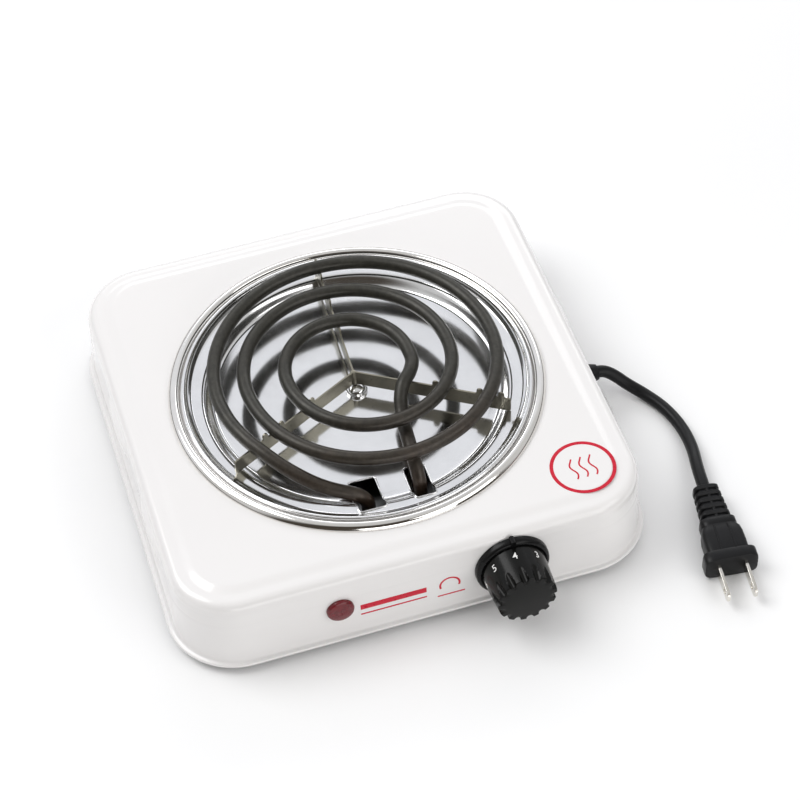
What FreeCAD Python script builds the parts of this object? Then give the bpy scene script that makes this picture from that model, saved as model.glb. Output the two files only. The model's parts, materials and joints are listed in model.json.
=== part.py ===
"""Single-burner electric hot plate: pressed steel body, drip bowl, coil element and thermostat knob.

Frame: millimetres, +Z up, front (knob side) towards -Y, origin at the middle of the footprint on the
surface that the feet stand on. Every piece that touches the front wall is drawn in the wall's own
frame, whose Z axis is the wall's outward normal.
"""
import FreeCAD, Part
import math
import os
import re
import Sketcher

V = FreeCAD.Vector
X_AXIS = V(1, 0, 0)
Y_AXIS = V(0, 1, 0)
Z_AXIS = V(0, 0, 1)

SIZES = {
    # body pressing
    "body_width": 220.0,
    "body_depth": 219.0,
    "body_height": 39.6,
    "corner_radius": 28.5,
    "edge_radius": 5.0,
    "sheet": 0.8,
    "wall_tilt": 2.4,
    "flange_width": 2.3,
    "flange_height": 2.0,
    "panel_inset": 8.5,
    "panel_rise": 1.0,
    "panel_slope": 3.0,
    "panel_corner": 20.0,
    "foot_drop": 4.0,
    "louvre_length": 38.0,
    "louvre_bulge": 2.4,
    "louvre_tall": 7.0,
    "louvre_drop": 5.6,
    "louvre_rear": 20.0,
    "louvre_front": 44.0,
    # base, brackets, feet
    "base_gap": 0.5,
    "base_lift": 0.6,
    "vent_length": 44.0,
    "vent_width": 4.0,
    "vent_pitch": 12.0,
    "vent_offset": 46.0,
    "foot_spread": 80.0,
    "foot_radius": 9.0,
    "foot_toe": 7.6,
    "screw_radius": 1.75,
    "screw_head": 3.4,
    "screw_head_tall": 1.6,
    "head_pocket": 2.4,
    "head_room": 0.3,
    "bracket_size": 13.0,
    "bracket_sheet": 1.2,
    # ring and bowl
    "burner_right": 1.4,
    "burner_ahead": 1.2,
    "ring_radius": 89.0,
    "ring_inner": 83.4,
    "ring_crown": 2.9,
    "ring_sheet": 0.7,
    "bead_radius": 1.1,
    "bead_centre": 81.9,
    "ledge_outer": 77.8,
    "ledge_inner": 73.5,
    "ledge_drop": 0.9,
    "floor_radius": 68.0,
    "bowl_depth": 4.6,
    "bowl_sheet": 0.6,
    "bead_seat": 0.7,
    "bowl_gap": 0.1,
    "bridge_width": 13.6,
    "window_left": 13.0,
    "window_right": 10.0,
    "window_length": 21.5,
    "window_front": 74.4,
    # coil and its support
    "coil_tube": 6.6,
    "coil_pitch": 19.4,
    "coil_eye": 29.7,
    "coil_tuck": 1.8,
    "coil_left": 2.0,
    "coil_back": 1.2,
    "coil_start": 206.0,
    "support_left": 0.8,
    "support_back": 1.2,
    "arm_length": 75.8,
    "arm_tall": 8.2,
    "arm_sheet": 0.9,
    "arm_turn": 2.2,
    "nub_width": 3.0,
    "nub_tall": 3.4,
    "nub_gap": 0.3,
    "leg_left": 12.4,
    "leg_right": 12.5,
    "leg_ahead": 65.2,
    "leg_end": 22.0,
    "pin_radius": 1.2,
    "pin_end": 14.0,
    "bead_tall": 3.5,
    "crimp_radius": 1.8,
    "crimp_length": 14.0,
    "clamp_level": 27.0,
    "clamp_width": 42.0,
    "clamp_depth": 14.0,
    "stud_radius": 2.4,
    "spacer_radius": 4.6,
    "dome_radius": 5.1,
    "dome_tall": 4.2,
    "stud_nut_flats": 8.0,
    "stud_nut_tall": 2.4,
    # control knob and thermostat
    "knob_right": 40.8,
    "control_level": 20.5,
    "bezel_radius": 17.4,
    "bezel_tall": 3.7,
    "bezel_lip": 1.2,
    "pointer_width": 2.4,
    "pointer_proud": 1.5,
    "knob_gap": 0.4,
    "knob_length": 19.3,
    "knob_back": 15.0,
    "knob_front": 13.9,
    "knob_face": 12.0,
    "knob_dome": 0.9,
    "knob_wall": 1.8,
    "hub_radius": 5.4,
    "flute_radius": 1.75,
    "flute_start": 8.6,
    "knob_turned": 4.0,
    "spindle_radius": 3.0,
    "running_gap": 0.05,
    "spindle_out": 18.0,
    "spindle_in": 9.0,
    "flat_depth": 1.0,
    "flat_length": 11.0,
    "collar_radius": 4.3,
    "bush_radius": 4.8,
    "bush_out": 2.4,
    "bush_gap": 0.2,
    "nut_flats": 13.0,
    "nut_tall": 2.2,
    "plate_wide": 26.0,
    "plate_high": 20.0,
    "plate_sheet": 1.2,
    "adjuster_radius": 1.2,
    "adjuster_top": 9.6,
    "adjuster_end": 13.7,
    "leaf_sheet": 0.4,
    "leaf_wide": 6.0,
    "leaf_first": 14.0,
    "leaf_step": 3.0,
    "stack_left": 8.2,
    "insulator_radius": 3.4,
    "rivet_radius": 1.3,
    # pilot light
    "pilot_left": 39.8,
    "lens_radius": 6.4,
    "lens_proud": 2.9,
    "neck_radius": 5.3,
    "neck_length": 8.0,
    "lamp_length": 13.0,
    "neck_gap": 0.1,
    "bulb_radius": 2.1,
    # mains cord and wiring
    "cord_diameter": 6.0,
    "cord_ahead": 6.0,
    "cord_level": 13.6,
    "relief_out": 9.6,
    "relief_in": 10.6,
    "relief_head": 3.6,
    "relief_tip": 3.9,
    "bush_outer": 5.6,
    "bush_head": 7.4,
    "rib_pitch": 4.0,
    "rib_wide": 12.2,
    "rib_high": 9.6,
    "grip_start": 20.0,
    "grip_wide": 17.2,
    "shoulder_start": 24.4,
    "shoulder_wide": 19.8,
    "flange_start": 39.8,
    "flange_wide": 25.0,
    "flange_high": 13.8,
    "plug_face": 46.2,
    "blade_pitch": 12.7,
    "blade_length": 17.5,
    "blade_width": 6.3,
    "blade_sheet": 1.5,
    "blade_tip": 1.6,
    "blade_hole": 1.6,
    "hole_back": 5.2,
    "lead_diameter": 2.4,
    "block_right": 76.0,
    "block_long": 24.0,
    "block_wide": 18.0,
    "block_tall": 12.0,
}

# Names worked out from the sheet's cells.
DERIVED = {
    "lean": "tan(wall_tilt * 1deg)",
    "top_level": "foot_drop + body_height",
    "panel_level": "top_level + panel_rise",
    "under_top": "panel_level - sheet",
    "wall_lean": "body_height * lean",
    "base_bottom": "foot_drop + base_lift",
    "base_top": "base_bottom + sheet",
    "base_lean": "(body_height - base_lift) * lean",
    "control_z": "foot_drop + control_level",
    "control_y": "body_depth / 2 + (body_height - control_level) * lean",
    "knob_reach": "bezel_tall + knob_gap + knob_length",
    "cord_wall": "body_width / 2 + (top_level - cord_level) * lean",
    "front_end": "control_y + knob_reach * cos(wall_tilt * 1deg)",
    "back_end": "body_depth / 2 + wall_lean + flange_width",
    "front_shift": "(front_end - back_end) / 2",
    "ledge_level": "panel_level - ledge_drop",
    "bowl_floor": "ledge_level - bowl_depth",
    "bowl_under": "bowl_floor - bowl_sheet",
    "coil_radius": "coil_tube / 2",
    "coil_level": "ledge_level + arm_tall + coil_radius",
    "support_x": "burner_right - support_left",
    "support_y": "support_back - burner_ahead",
    "spindle_bore": "spindle_radius + running_gap",
    "wall_inset": "sheet / cos(wall_tilt * 1deg) - sheet * lean",
    "bowl_neck": "bead_centre - bead_seat",
    "hole_radius": "bowl_neck + bowl_gap",
    "bezel_recess": "nut_flats / 2 / cos(30deg) + 0.6",
}

KNOB_FLUTES = 14
PLUG_RIBS = 5
ARMS = 3
CORNERS = [(-1, -1, "front_left"), (1, -1, "front_right"), (-1, 1, "rear_left"), (1, 1, "rear_right")]

doc = FreeCAD.newDocument("HotPlate")
sheet = doc.addObject("Spreadsheet::Sheet", "Sizes")
nodes = {}


def fill_sheet():
    """One row per driving dimension: its name, and the value under that alias."""
    for row, (alias, value) in enumerate(SIZES.items(), start=1):
        sheet.set(f"A{row}", alias)
        sheet.set(f"B{row}", str(value))
        sheet.setAlias(f"B{row}", alias)
    doc.recompute()


def expr(text):
    """The sheet expression for a text of size names, derived names and numbers."""
    def swap(match):
        word = match.group(0)
        if word in SIZES:
            return f"Sizes.{word}"
        if word in DERIVED:
            return f"({expr(DERIVED[word])})"
        return word
    return re.sub(r"[a-z_]+", swap, str(text))


def num(text):
    """The present value of an expression."""
    return float(sheet.evalExpression(expr(text)))


def bind(target, **properties):
    """Bind properties of a document object to expressions."""
    for name, text in properties.items():
        target.setExpression(name, expr(text))


# ---- placing -------------------------------------------------------------------------------------

def place(target, x="0", y="0", z="0"):
    """Put an object at a point of the body's frame, whose origin is the middle of the pressing."""
    target.setExpression("Placement.Base.x", expr(x))
    target.setExpression("Placement.Base.y", expr(f"{y} + front_shift"))
    target.setExpression("Placement.Base.z", expr(z))
    return target


def place_on_front(target, x):
    """Put an object drawn in the front wall's frame at a point of the wall, at the control height."""
    target.Placement = FreeCAD.Placement(V(), FreeCAD.Rotation(X_AXIS, 90 - num("wall_tilt")))
    target.setExpression("Placement.Rotation.Angle", expr("90deg - wall_tilt * 1deg"))
    return place(target, x, "-control_y", "control_z")


def node(target, label):
    """Name a finished piece: its label is the name of its file."""
    target.Label = label
    nodes[label] = target
    return target


# ---- Part primitives -----------------------------------------------------------------------------

def cylinder(name, radius, height, x="0", y="0", z="0"):
    shape = doc.addObject("Part::Cylinder", name)
    bind(shape, Radius=radius, Height=height)
    for axis, text in zip("xyz", (x, y, z)):
        shape.setExpression(f"Placement.Base.{axis}", expr(text))
    return shape


def cone(name, bottom, top, height, x="0", y="0", z="0"):
    shape = doc.addObject("Part::Cone", name)
    bind(shape, Radius1=bottom, Radius2=top, Height=height)
    for axis, text in zip("xyz", (x, y, z)):
        shape.setExpression(f"Placement.Base.{axis}", expr(text))
    return shape


def block(name, length, width, height, x="0", y="0", z="0"):
    """A box centred on x and y, standing on z."""
    shape = doc.addObject("Part::Box", name)
    bind(shape, Length=length, Width=width, Height=height)
    shape.setExpression("Placement.Base.x", expr(f"{x} - ({length}) / 2"))
    shape.setExpression("Placement.Base.y", expr(f"{y} - ({width}) / 2"))
    shape.setExpression("Placement.Base.z", expr(z))
    return shape


def hexagon(name, flats, height, z="0"):
    shape = doc.addObject("Part::Prism", name)
    shape.Polygon = 6
    bind(shape, Circumradius=f"({flats}) / 2 / cos(30deg)", Height=height)
    shape.setExpression("Placement.Base.z", expr(z))
    return shape


def fuse(name, shapes):
    joined = doc.addObject("Part::MultiFuse", name)
    joined.Shapes = shapes
    joined.Refine = True
    return joined


def group(name, shapes):
    """Several separate solids of one kind in one node."""
    several = doc.addObject("Part::Compound", name)
    several.Links = shapes
    return several


def cut(name, base, tools):
    tool = tools[0] if len(tools) == 1 else fuse(f"{name}_tools", tools)
    result = doc.addObject("Part::Cut", name)
    result.Base = base
    result.Tool = tool
    return result


def made(name, shape):
    """A piece whose shape is built straight from the sheet's values."""
    feature = doc.addObject("Part::Feature", name)
    feature.Shape = shape
    return feature


# ---- PartDesign bodies ---------------------------------------------------------------------------

def new_body(name):
    return doc.addObject("PartDesign::Body", name)


def new_sketch(body, name, role, offset=None):
    sketch = body.newObject("Sketcher::SketchObject", name)
    plane = [feature for feature in body.Origin.OriginFeatures if feature.Role == role][0]
    sketch.AttachmentSupport = [(plane, "")]
    sketch.MapMode = "FlatFace"
    if offset is not None:
        sketch.setExpression("AttachmentOffset.Base.z", expr(offset))
    return sketch


def bound_constraint(sketch, kind, *args):
    """Add a constraint whose last argument is the expression for its value."""
    index = sketch.addConstraint(Sketcher.Constraint(kind, *args[:-1], num(args[-1])))
    sketch.setExpression(f"Constraints[{index}]", expr(args[-1]))


def outline(sketch, points):
    """A closed outline. Each point is (x, y) or (x, y, radius): a radius makes the stretch that
    leaves the point an arc, which bulges right of the way to the next point, or left if negative."""
    count = len(points)
    places = [V(num(point[0]), num(point[1]), 0) for point in points]
    ends = []
    for index, point in enumerate(points):
        start, end = places[index], places[(index + 1) % count]
        if len(point) == 2:
            sketch.addGeometry(Part.LineSegment(start, end))
            ends.append((1, 2))
            continue
        radius = num(point[2])
        if radius < 0:
            start, end = end, start
        chord = end - start
        reach = math.sqrt(radius ** 2 - (chord.Length / 2) ** 2)
        centre = (start + end) * 0.5 + V(-chord.y, chord.x, 0).normalize() * reach
        circle = Part.Circle(centre, Z_AXIS, abs(radius))
        sketch.addGeometry(Part.ArcOfCircle(circle, circle.parameter(start), circle.parameter(end)))
        ends.append((1, 2) if radius > 0 else (2, 1))
    for index in range(count):
        after = (index + 1) % count
        sketch.addConstraint(Sketcher.Constraint("Coincident", index, ends[index][1], after, ends[after][0]))
    for index, point in enumerate(points):
        bound_constraint(sketch, "DistanceX", -1, 1, index, ends[index][0], point[0])
        bound_constraint(sketch, "DistanceY", -1, 1, index, ends[index][0], point[1])
        if len(point) == 3:
            bound_constraint(sketch, "Radius", index, f"abs({point[2]})")


def rounded_rectangle(width, depth, radius, x="0", y="0"):
    """Outline points of a rectangle with round corners, anticlockwise."""
    left, right = f"{x} - ({width}) / 2", f"{x} + ({width}) / 2"
    front, back = f"{y} - ({depth}) / 2", f"{y} + ({depth}) / 2"
    return [
        (f"{left} + ({radius})", front),
        (f"{right} - ({radius})", front, radius),
        (right, f"{front} + ({radius})"),
        (right, f"{back} - ({radius})", radius),
        (f"{right} - ({radius})", back),
        (f"{left} + ({radius})", back, radius),
        (left, f"{back} - ({radius})"),
        (left, f"{front} + ({radius})", radius),
    ]


def pad(body, sketch, length, taper=None, downward=False):
    feature = body.newObject("PartDesign::Pad", f"{sketch.Name}_pad")
    feature.Profile = sketch
    feature.Reversed = downward
    bind(feature, Length=length)
    if taper is not None:
        bind(feature, TaperAngle=taper)
    doc.recompute()
    return feature


def pocket(body, sketch, length, upward=False):
    feature = body.newObject("PartDesign::Pocket", f"{sketch.Name}_pocket")
    feature.Profile = sketch
    feature.Reversed = upward
    bind(feature, Length=length)
    doc.recompute()
    return feature


def turned(name, points):
    """A body of revolution about its own Z axis, from an outline in the XZ plane."""
    body = new_body(name)
    sketch = new_sketch(body, f"{name}_profile", "XZ_Plane")
    outline(sketch, points)
    feature = body.newObject("PartDesign::Revolution", f"{name}_turn")
    feature.Profile = sketch
    feature.ReferenceAxis = (sketch, ["V_Axis"])
    feature.Angle = 360
    doc.recompute()
    return body


def edges_where(shape, test):
    return [f"Edge{index}" for index, edge in enumerate(shape.Edges, start=1) if test(edge)]


# ---- body pressing -------------------------------------------------------------------------------

def pressed_form(name, inset, drop, bottom):
    """The tapered, round-edged form of the pressing: its walls are set in by an inset and its top
    is lowered by a drop, and it runs down to the bottom level."""
    body = new_body(name)
    top = new_sketch(body, f"{name}_top", "XY_Plane", f"top_level - {drop}")
    outline(top, rounded_rectangle(f"body_width - 2 * {inset}", f"body_depth - 2 * {inset}",
                                   f"corner_radius - {inset}"))
    pad(body, top, f"top_level - {drop} - ({bottom})", taper="wall_tilt", downward=True)
    panel = new_sketch(body, f"{name}_panel", "XY_Plane", f"top_level - {drop}")
    outline(panel, rounded_rectangle("body_width - 2 * panel_inset", "body_depth - 2 * panel_inset",
                                     "panel_corner"))
    raised = pad(body, panel, "panel_rise", taper="-atan(panel_slope / panel_rise)")
    level = num(f"top_level - {drop}")
    reach = num("body_depth / 2 - panel_inset") + 0.5

    def on_rim(edge):
        box = edge.BoundBox
        flat = abs(box.ZMin - level) < 1e-4 and abs(box.ZMax - level) < 1e-4
        return flat and max(abs(box.XMin), abs(box.XMax), abs(box.YMin), abs(box.YMax)) > reach

    rim = body.newObject("PartDesign::Fillet", f"{name}_rim")
    rim.Base = (raised, edges_where(raised.Shape, on_rim))
    bind(rim, Radius=f"edge_radius - {drop}")
    doc.recompute()
    return body


def hem():
    """The turned-out flange round the foot of the walls."""
    body = new_body("hem")
    sketch = new_sketch(body, "hem_outline", "XY_Plane", "foot_drop")
    spread = "2 * (wall_lean + flange_width)"
    outline(sketch, rounded_rectangle(f"body_width + {spread}", f"body_depth + {spread}",
                                      "corner_radius + wall_lean + flange_width"))
    flange = pad(body, sketch, "flange_height")
    low = num("foot_drop")
    high = num("foot_drop + flange_height")

    def on_edge(edge):
        box = edge.BoundBox
        return abs(box.ZMax - box.ZMin) < 1e-4 and (abs(box.ZMin - low) < 1e-4 or abs(box.ZMin - high) < 1e-4)

    bead = body.newObject("PartDesign::Fillet", "hem_bead")
    bead.Base = (flange, edges_where(flange.Shape, on_edge))
    bind(bead, Radius="flange_height * 0.45")
    doc.recompute()
    return body


def louvre(name, side, y, inset, length, bottom, tall):
    """A pressed-out hood on a side wall: a lens-shaped pad, bulging away from the body."""
    body = new_body(name)
    sketch = new_sketch(body, f"{name}_lens", "XY_Plane", bottom)
    root = f"{side} * (body_width / 2 - 2 * sheet)"
    half = f"({length}) / 2"
    sagitta = f"(louvre_bulge + 2 * sheet + lean * (louvre_drop + louvre_tall) - ({inset}))"
    radius = f"(({half}) ^ 2 + {sagitta} ^ 2) / (2 * {sagitta})"
    start, end = (f"{y} - {half}", f"{y} + {half}") if side > 0 else (f"{y} + {half}", f"{y} - {half}")
    outline(sketch, [(root, start, radius), (root, end)])
    pad(body, sketch, tall)
    return body


def body_shell():
    outer = pressed_form("outer_form", "0", "0", "foot_drop")
    inner = pressed_form("inner_form", "wall_inset", "sheet", "foot_drop - 1")
    hoods = []
    mouths = []
    for side in (-1, 1):
        for spot, y in (("rear", "louvre_rear"), ("front", "-louvre_front")):
            tag = f"{spot}_{'left' if side < 0 else 'right'}"
            low = "top_level - louvre_drop - louvre_tall"
            hoods.append(louvre(f"hood_{tag}", side, y, "0", "louvre_length", low, "louvre_tall"))
            mouths.append(louvre(f"mouth_{tag}", side, y, "sheet", "louvre_length - 4 * sheet",
                                 f"{low} - 1", "louvre_tall + 1 - sheet"))
    whole = fuse("shell_whole", [outer, hem(), *hoods])
    burner_hole = cylinder("burner_hole", "hole_radius", "20", "burner_right", "-burner_ahead",
                           "top_level - 10")
    shaft_hole = wall_hole("shaft_hole", "bush_radius + bush_gap", "knob_right")
    lens_hole = wall_hole("lens_hole", "neck_radius + neck_gap", "-pilot_left")
    cord_hole = cylinder("cord_hole", "bush_outer", "20", "cord_wall - 10", "-cord_ahead", "cord_level")
    cord_hole.Placement.Rotation = FreeCAD.Rotation(Y_AXIS, 90)
    shell = cut("shell_cut", whole, [inner, burner_hole, shaft_hole, lens_hole, cord_hole, *mouths])
    return node(place(shell), "body_shell")


def wall_hole(name, radius, x):
    """A round hole square to the front wall, in the frame of the pressing."""
    tool = cylinder(name, radius, "10", x, "-control_y - 5 * cos(wall_tilt * 1deg)",
                    "control_z + 5 * sin(wall_tilt * 1deg)")
    tool.Placement.Rotation = FreeCAD.Rotation(X_AXIS, -90 - num("wall_tilt"))
    tool.setExpression("Placement.Rotation.Angle", expr("-90deg - wall_tilt * 1deg"))
    return tool


# ---- base, brackets and feet ---------------------------------------------------------------------

def base_plate():
    body = new_body("base_body")
    sketch = new_sketch(body, "base_outline", "XY_Plane", "base_bottom")
    trim = "2 * (base_lean - sheet - base_gap)"
    outline(sketch, rounded_rectangle(f"body_width + {trim}", f"body_depth + {trim}",
                                      "corner_radius + base_lean - sheet - base_gap"))
    pad(body, sketch, "sheet")
    slot = new_sketch(body, "vent_slot", "XY_Plane", "base_top")
    outline(slot, rounded_rectangle("vent_length", "vent_width", "vent_width * 0.499",
                                    y="vent_offset - 2 * vent_pitch"))
    opening = pocket(body, slot, "2 * sheet")
    row = body.newObject("PartDesign::LinearPattern", "vent_row")
    row.Originals = [opening]
    row.Direction = (slot, ["V_Axis"])
    row.Occurrences = 5
    bind(row, Length="4 * vent_pitch")
    body.Tip = row
    doc.recompute()
    holes = [cylinder(f"base_hole_{name}", "screw_radius + head_room", "10",
                      f"{sx} * foot_spread", f"{sy} * foot_spread", "0") for sx, sy, name in CORNERS]
    stud_hole = cylinder("base_stud_hole", "stud_radius", "10", "burner_right", "-burner_ahead", "0")
    plate = cut("base_cut", body, [*holes, stud_hole])
    return node(place(plate), "base_plate")


def mounting_brackets():
    """Four folded brackets, spot-welded under the panel, that the foot screws pull the base against."""
    brackets = []
    for sx, sy, name in CORNERS:
        x, y = f"{sx} * foot_spread", f"{sy} * foot_spread"
        edge = f"{x} + {sx} * (bracket_size - bracket_sheet) / 2"
        tab = block(f"tab_{name}", "bracket_size", "bracket_size", "bracket_sheet", x, y, "base_top")
        web = block(f"web_{name}", "bracket_sheet", "bracket_size", "under_top - base_top", edge, y,
                    "base_top")
        ear = block(f"ear_{name}", "bracket_size * 0.7", "bracket_size", "bracket_sheet",
                    f"{x} + {sx} * bracket_size * 0.15", y, "under_top - bracket_sheet")
        hole = cylinder(f"tapped_{name}", "screw_radius", "10", x, y, "base_top - 4")
        brackets.append(cut(f"bracket_{name}", fuse(f"folded_{name}", [tab, web, ear]), [hole]))
    return node(place(group("bracket_set", brackets)), "mounting_brackets")


def feet():
    screws = []
    for sx, sy, name in CORNERS:
        x, y = f"{sx} * foot_spread", f"{sy} * foot_spread"
        pad_shape = cone(f"foot_pad_{name}", "foot_toe", "foot_radius", "base_bottom", x, y, "0")
        pocket_tool = cylinder(f"foot_pocket_{name}", "screw_head + head_room", "head_pocket", x, y, "0")
        bore = cylinder(f"foot_bore_{name}", "screw_radius + head_room", "10", x, y, "0")
        node(place(cut(f"foot_cut_{name}", pad_shape, [pocket_tool, bore])), f"foot_{name}")
        head = cone(f"head_{name}", "screw_head * 0.8", "screw_head", "screw_head_tall", x, y,
                    "head_pocket - screw_head_tall")
        shank = cylinder(f"shank_{name}", "screw_radius", "base_top + bracket_sheet + 2 - head_pocket",
                         x, y, "head_pocket")
        slot = block(f"drive_{name}", "screw_head * 2", "0.8", "1.6", x, y,
                     "head_pocket - screw_head_tall - 1")
        screws.append(cut(f"screw_{name}", fuse(f"blank_{name}", [head, shank]), [slot]))
    return node(place(group("screw_set", screws)), "foot_screws")


# ---- ring, bowl and centre fixing ----------------------------------------------------------------

def trim_ring():
    """The bright ring: a hollow half-round pressing that hides the edge of the body's hole."""
    width = "(ring_radius - ring_inner)"
    curve = f"(({width} / 2) ^ 2 + ring_crown ^ 2) / (2 * ring_crown)"
    rise = "(ring_crown - ring_sheet)"
    under = f"(({width} / 2 - ring_sheet) ^ 2 + {rise} ^ 2) / (2 * {rise})"
    crest = "ring_radius - (ring_radius - ring_inner) / 2"
    ring = turned("ring_body", [
        ("ring_radius", "0", curve),
        (crest, "ring_crown", curve),
        ("ring_inner", "0"),
        ("ring_inner + ring_sheet", "0", f"-({under})"),
        (crest, "ring_crown - ring_sheet", f"-({under})"),
        ("ring_radius - ring_sheet", "0"),
    ])
    return node(place(ring, "burner_right", "-burner_ahead", "panel_level"), "trim_ring")


def drip_bowl():
    """The polished bowl: a rolled bead on the panel, a ledge for the coil support and a flat floor."""
    inside = "bowl_sheet"
    bowl = turned("bowl_body", [
        ("stud_radius", "bowl_under"),
        ("floor_radius", "bowl_under"),
        ("ledge_inner + 0.3", f"ledge_level - {inside}"),
        ("ledge_outer + 0.2", f"ledge_level - {inside}"),
        ("bowl_neck", "panel_level"),
        ("bead_centre", "panel_level", "bead_radius"),
        ("bead_centre + bead_radius", "panel_level + bead_radius", "bead_radius"),
        ("bead_centre", "panel_level + 2 * bead_radius", "bead_radius"),
        ("bead_centre - bead_radius", "panel_level + bead_radius"),
        ("ledge_outer", "ledge_level"),
        ("ledge_inner", "ledge_level"),
        ("floor_radius - 0.4", "bowl_floor"),
        ("stud_radius", "bowl_floor"),
    ])
    windows = []
    for side, width in ((-1, "window_left"), (1, "window_right")):
        x = f"support_x - burner_right + {side} * (bridge_width + {width}) / 2"
        y = "-window_front + window_length / 2"
        windows.append(block(f"{width}_tool", width, "window_length", "20", x, y, "bowl_floor - 10"))
    pierced = cut("bowl_cut", bowl, windows)
    return node(place(pierced, "burner_right", "-burner_ahead"), "drip_bowl")


def centre_fixing():
    """Stud, spacer and nuts that clamp the bowl to the base."""
    spot = ("burner_right", "-burner_ahead")
    low_end = "(base_bottom - stud_nut_tall - 0.6)"
    stud = cylinder("stud_rod", "stud_radius", f"bowl_floor + dome_tall / 2 - {low_end}", z=low_end)
    node(place(group("stud_group", [stud]), *spot), "centre_stud")
    tube = cylinder("spacer_tube_outer", "spacer_radius", "bowl_under - base_top", z="base_top")
    bore = cylinder("spacer_tube_bore", "stud_radius + 0.1", "60")
    node(place(cut("spacer_cut", tube, [bore]), *spot), "spacer_tube")
    nut = hexagon("stud_nut_blank", "stud_nut_flats", "stud_nut_tall", "base_bottom - stud_nut_tall")
    nut_bore = cylinder("stud_nut_bore", "stud_radius", "20")
    node(place(cut("stud_nut_cut", nut, [nut_bore]), *spot), "stud_nut")
    curve = "(dome_radius ^ 2 + (dome_tall - 1) ^ 2) / (2 * (dome_tall - 1))"
    dome = turned("dome_body", [
        ("stud_radius", "0"),
        ("dome_radius", "0"),
        ("dome_radius", "1", curve),
        ("0", "dome_tall"),
        ("0", "dome_tall / 2"),
        ("stud_radius", "dome_tall / 2"),
    ])
    node(place(dome, *spot, "bowl_floor"), "dome_nut")


# ---- coil element --------------------------------------------------------------------------------

def rounded_route(points):
    """Straight runs joined by tangent arcs: each arc's radius is 0.45 of its shorter run, over the
    tangent of half the turn. Gives the wire and the radii."""
    edges = []
    radii = []
    start = points[0]
    for before, corner, after in zip(points, points[1:], points[2:]):
        back = (before - corner).normalize()
        ahead = (after - corner).normalize()
        half_turn = (math.pi - back.getAngle(ahead)) / 2
        reach = 0.45 * min((before - corner).Length, (after - corner).Length)
        radius = reach / math.tan(half_turn)
        centre = corner + (back + ahead).normalize() * (radius / math.cos(half_turn))
        middle = centre + (corner - centre).normalize() * radius
        edges.append(Part.LineSegment(start, corner + back * reach).toShape())
        edges.append(Part.Arc(corner + back * reach, middle, corner + ahead * reach).toShape())
        start = corner + ahead * reach
        radii.append(radius)
    edges.append(Part.LineSegment(start, points[-1]).toShape())
    return edges, radii


def tube_along(edges, diameter):
    """A round solid swept along tangent edges."""
    wire = Part.Wire(edges)
    first = wire.Edges[0]
    spot = first.valueAt(first.FirstParameter)
    heading = first.tangentAt(first.FirstParameter)
    ring = Part.Wire(Part.Circle(spot, heading, diameter / 2).toShape())
    solid = wire.makePipeShell([ring], True, False)
    expected = math.pi * diameter ** 2 / 4 * wire.Length
    if abs(solid.Volume / expected - 1) > 0.02:
        raise ValueError(f"tube volume {solid.Volume:.0f}, expected {expected:.0f}")
    return solid, wire.Length


def coil_turns():
    """Level half turns from the outer end to the eye, each (centre, radius, first and last angle).
    The back and front halves meet on one line and their radii grow by half of the pitch; the
    outermost turn is tucked in, to stay inside the ledge of the bowl."""
    step = num("coil_pitch") / 2
    tuck = num("coil_tuck")
    radii = [num("coil_eye") + half * step for half in range(5)]
    radii[3] += tuck / 2
    radii[4] -= tuck
    turns = []
    side = radii[0] - num("coil_left")
    for half, radius in enumerate(radii):
        back = half % 2 == 0
        x = side - radius if back else side + radius
        span = (180, 0) if back else (0, -180)
        turns.append([V(x, num("coil_back"), num("coil_level")), radius, *span])
        side = x - radius if back else x + radius
    turns[-1][2] = num("coil_start")
    return turns[::-1]


def at_angle(centre, radius, degrees, drop=0):
    """A point of a level circle, or below it by a drop."""
    angle = math.radians(degrees)
    return centre + V(radius * math.cos(angle), radius * math.sin(angle), -drop)


def coil_route():
    """The heating tube's centre line, in the frame of the coil's support."""
    turns = coil_turns()
    centre, radius, first, _ = turns[0]
    level = num("coil_level")
    leg_x = -num("leg_left") - num("support_x")
    leg_y = -num("leg_ahead") - num("support_y")
    leg_end = num("leg_end")
    outer_leg = [
        V(leg_x, leg_y, leg_end),
        V(leg_x, leg_y, level - 15),
        at_angle(centre, radius + 1.2, first + 41, 9.6),
        at_angle(centre, radius + 0.8, first + 24, 5.0),
        at_angle(centre, radius + 0.2, first + 7),
        at_angle(centre, radius, first),
    ]
    edges, _ = rounded_route(outer_leg)
    for centre, radius, start, end in turns:
        spots = [at_angle(centre, radius, angle) for angle in (start, (start + end) / 2, end)]
        edges.append(Part.Arc(*spots).toShape())
    centre, radius, _, _ = turns[-1]
    eye_end = centre + V(radius, 0, 0)
    leg_x = num("leg_right") - num("support_x")
    inner_leg = [
        eye_end,
        eye_end + V(0, -7, 0),
        eye_end + V(-9.6, -19.6, 0.2),
        V(leg_x + 2.4, -30, level - 8.2),
        V(leg_x + 0.3, -54.5, level - 8.6),
        V(leg_x, leg_y, level - 14),
        V(leg_x, leg_y, leg_end),
    ]
    tail, _ = rounded_route(inner_leg)
    return edges + tail


def heating_coil():
    solid, _ = tube_along(coil_route(), num("coil_tube"))
    return node(place(made("coil_sweep", solid), "support_x", "support_y"), "heating_coil")


def crossings(degrees):
    """Distances from the support's centre at which an arm at this angle passes under the tube."""
    found = []
    heading = at_angle(V(), 1, degrees)
    for centre, radius, start, end in coil_turns():
        flat = V(centre.x, centre.y, 0)
        along = flat.dot(heading)
        reach = along + math.sqrt(radius ** 2 - flat.Length ** 2 + along ** 2)
        spot = heading * reach - flat
        turned_by = (start - math.degrees(math.atan2(spot.y, spot.x))) % 360
        if turned_by <= start - end:
            found.append(reach)
    return sorted(found)


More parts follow.
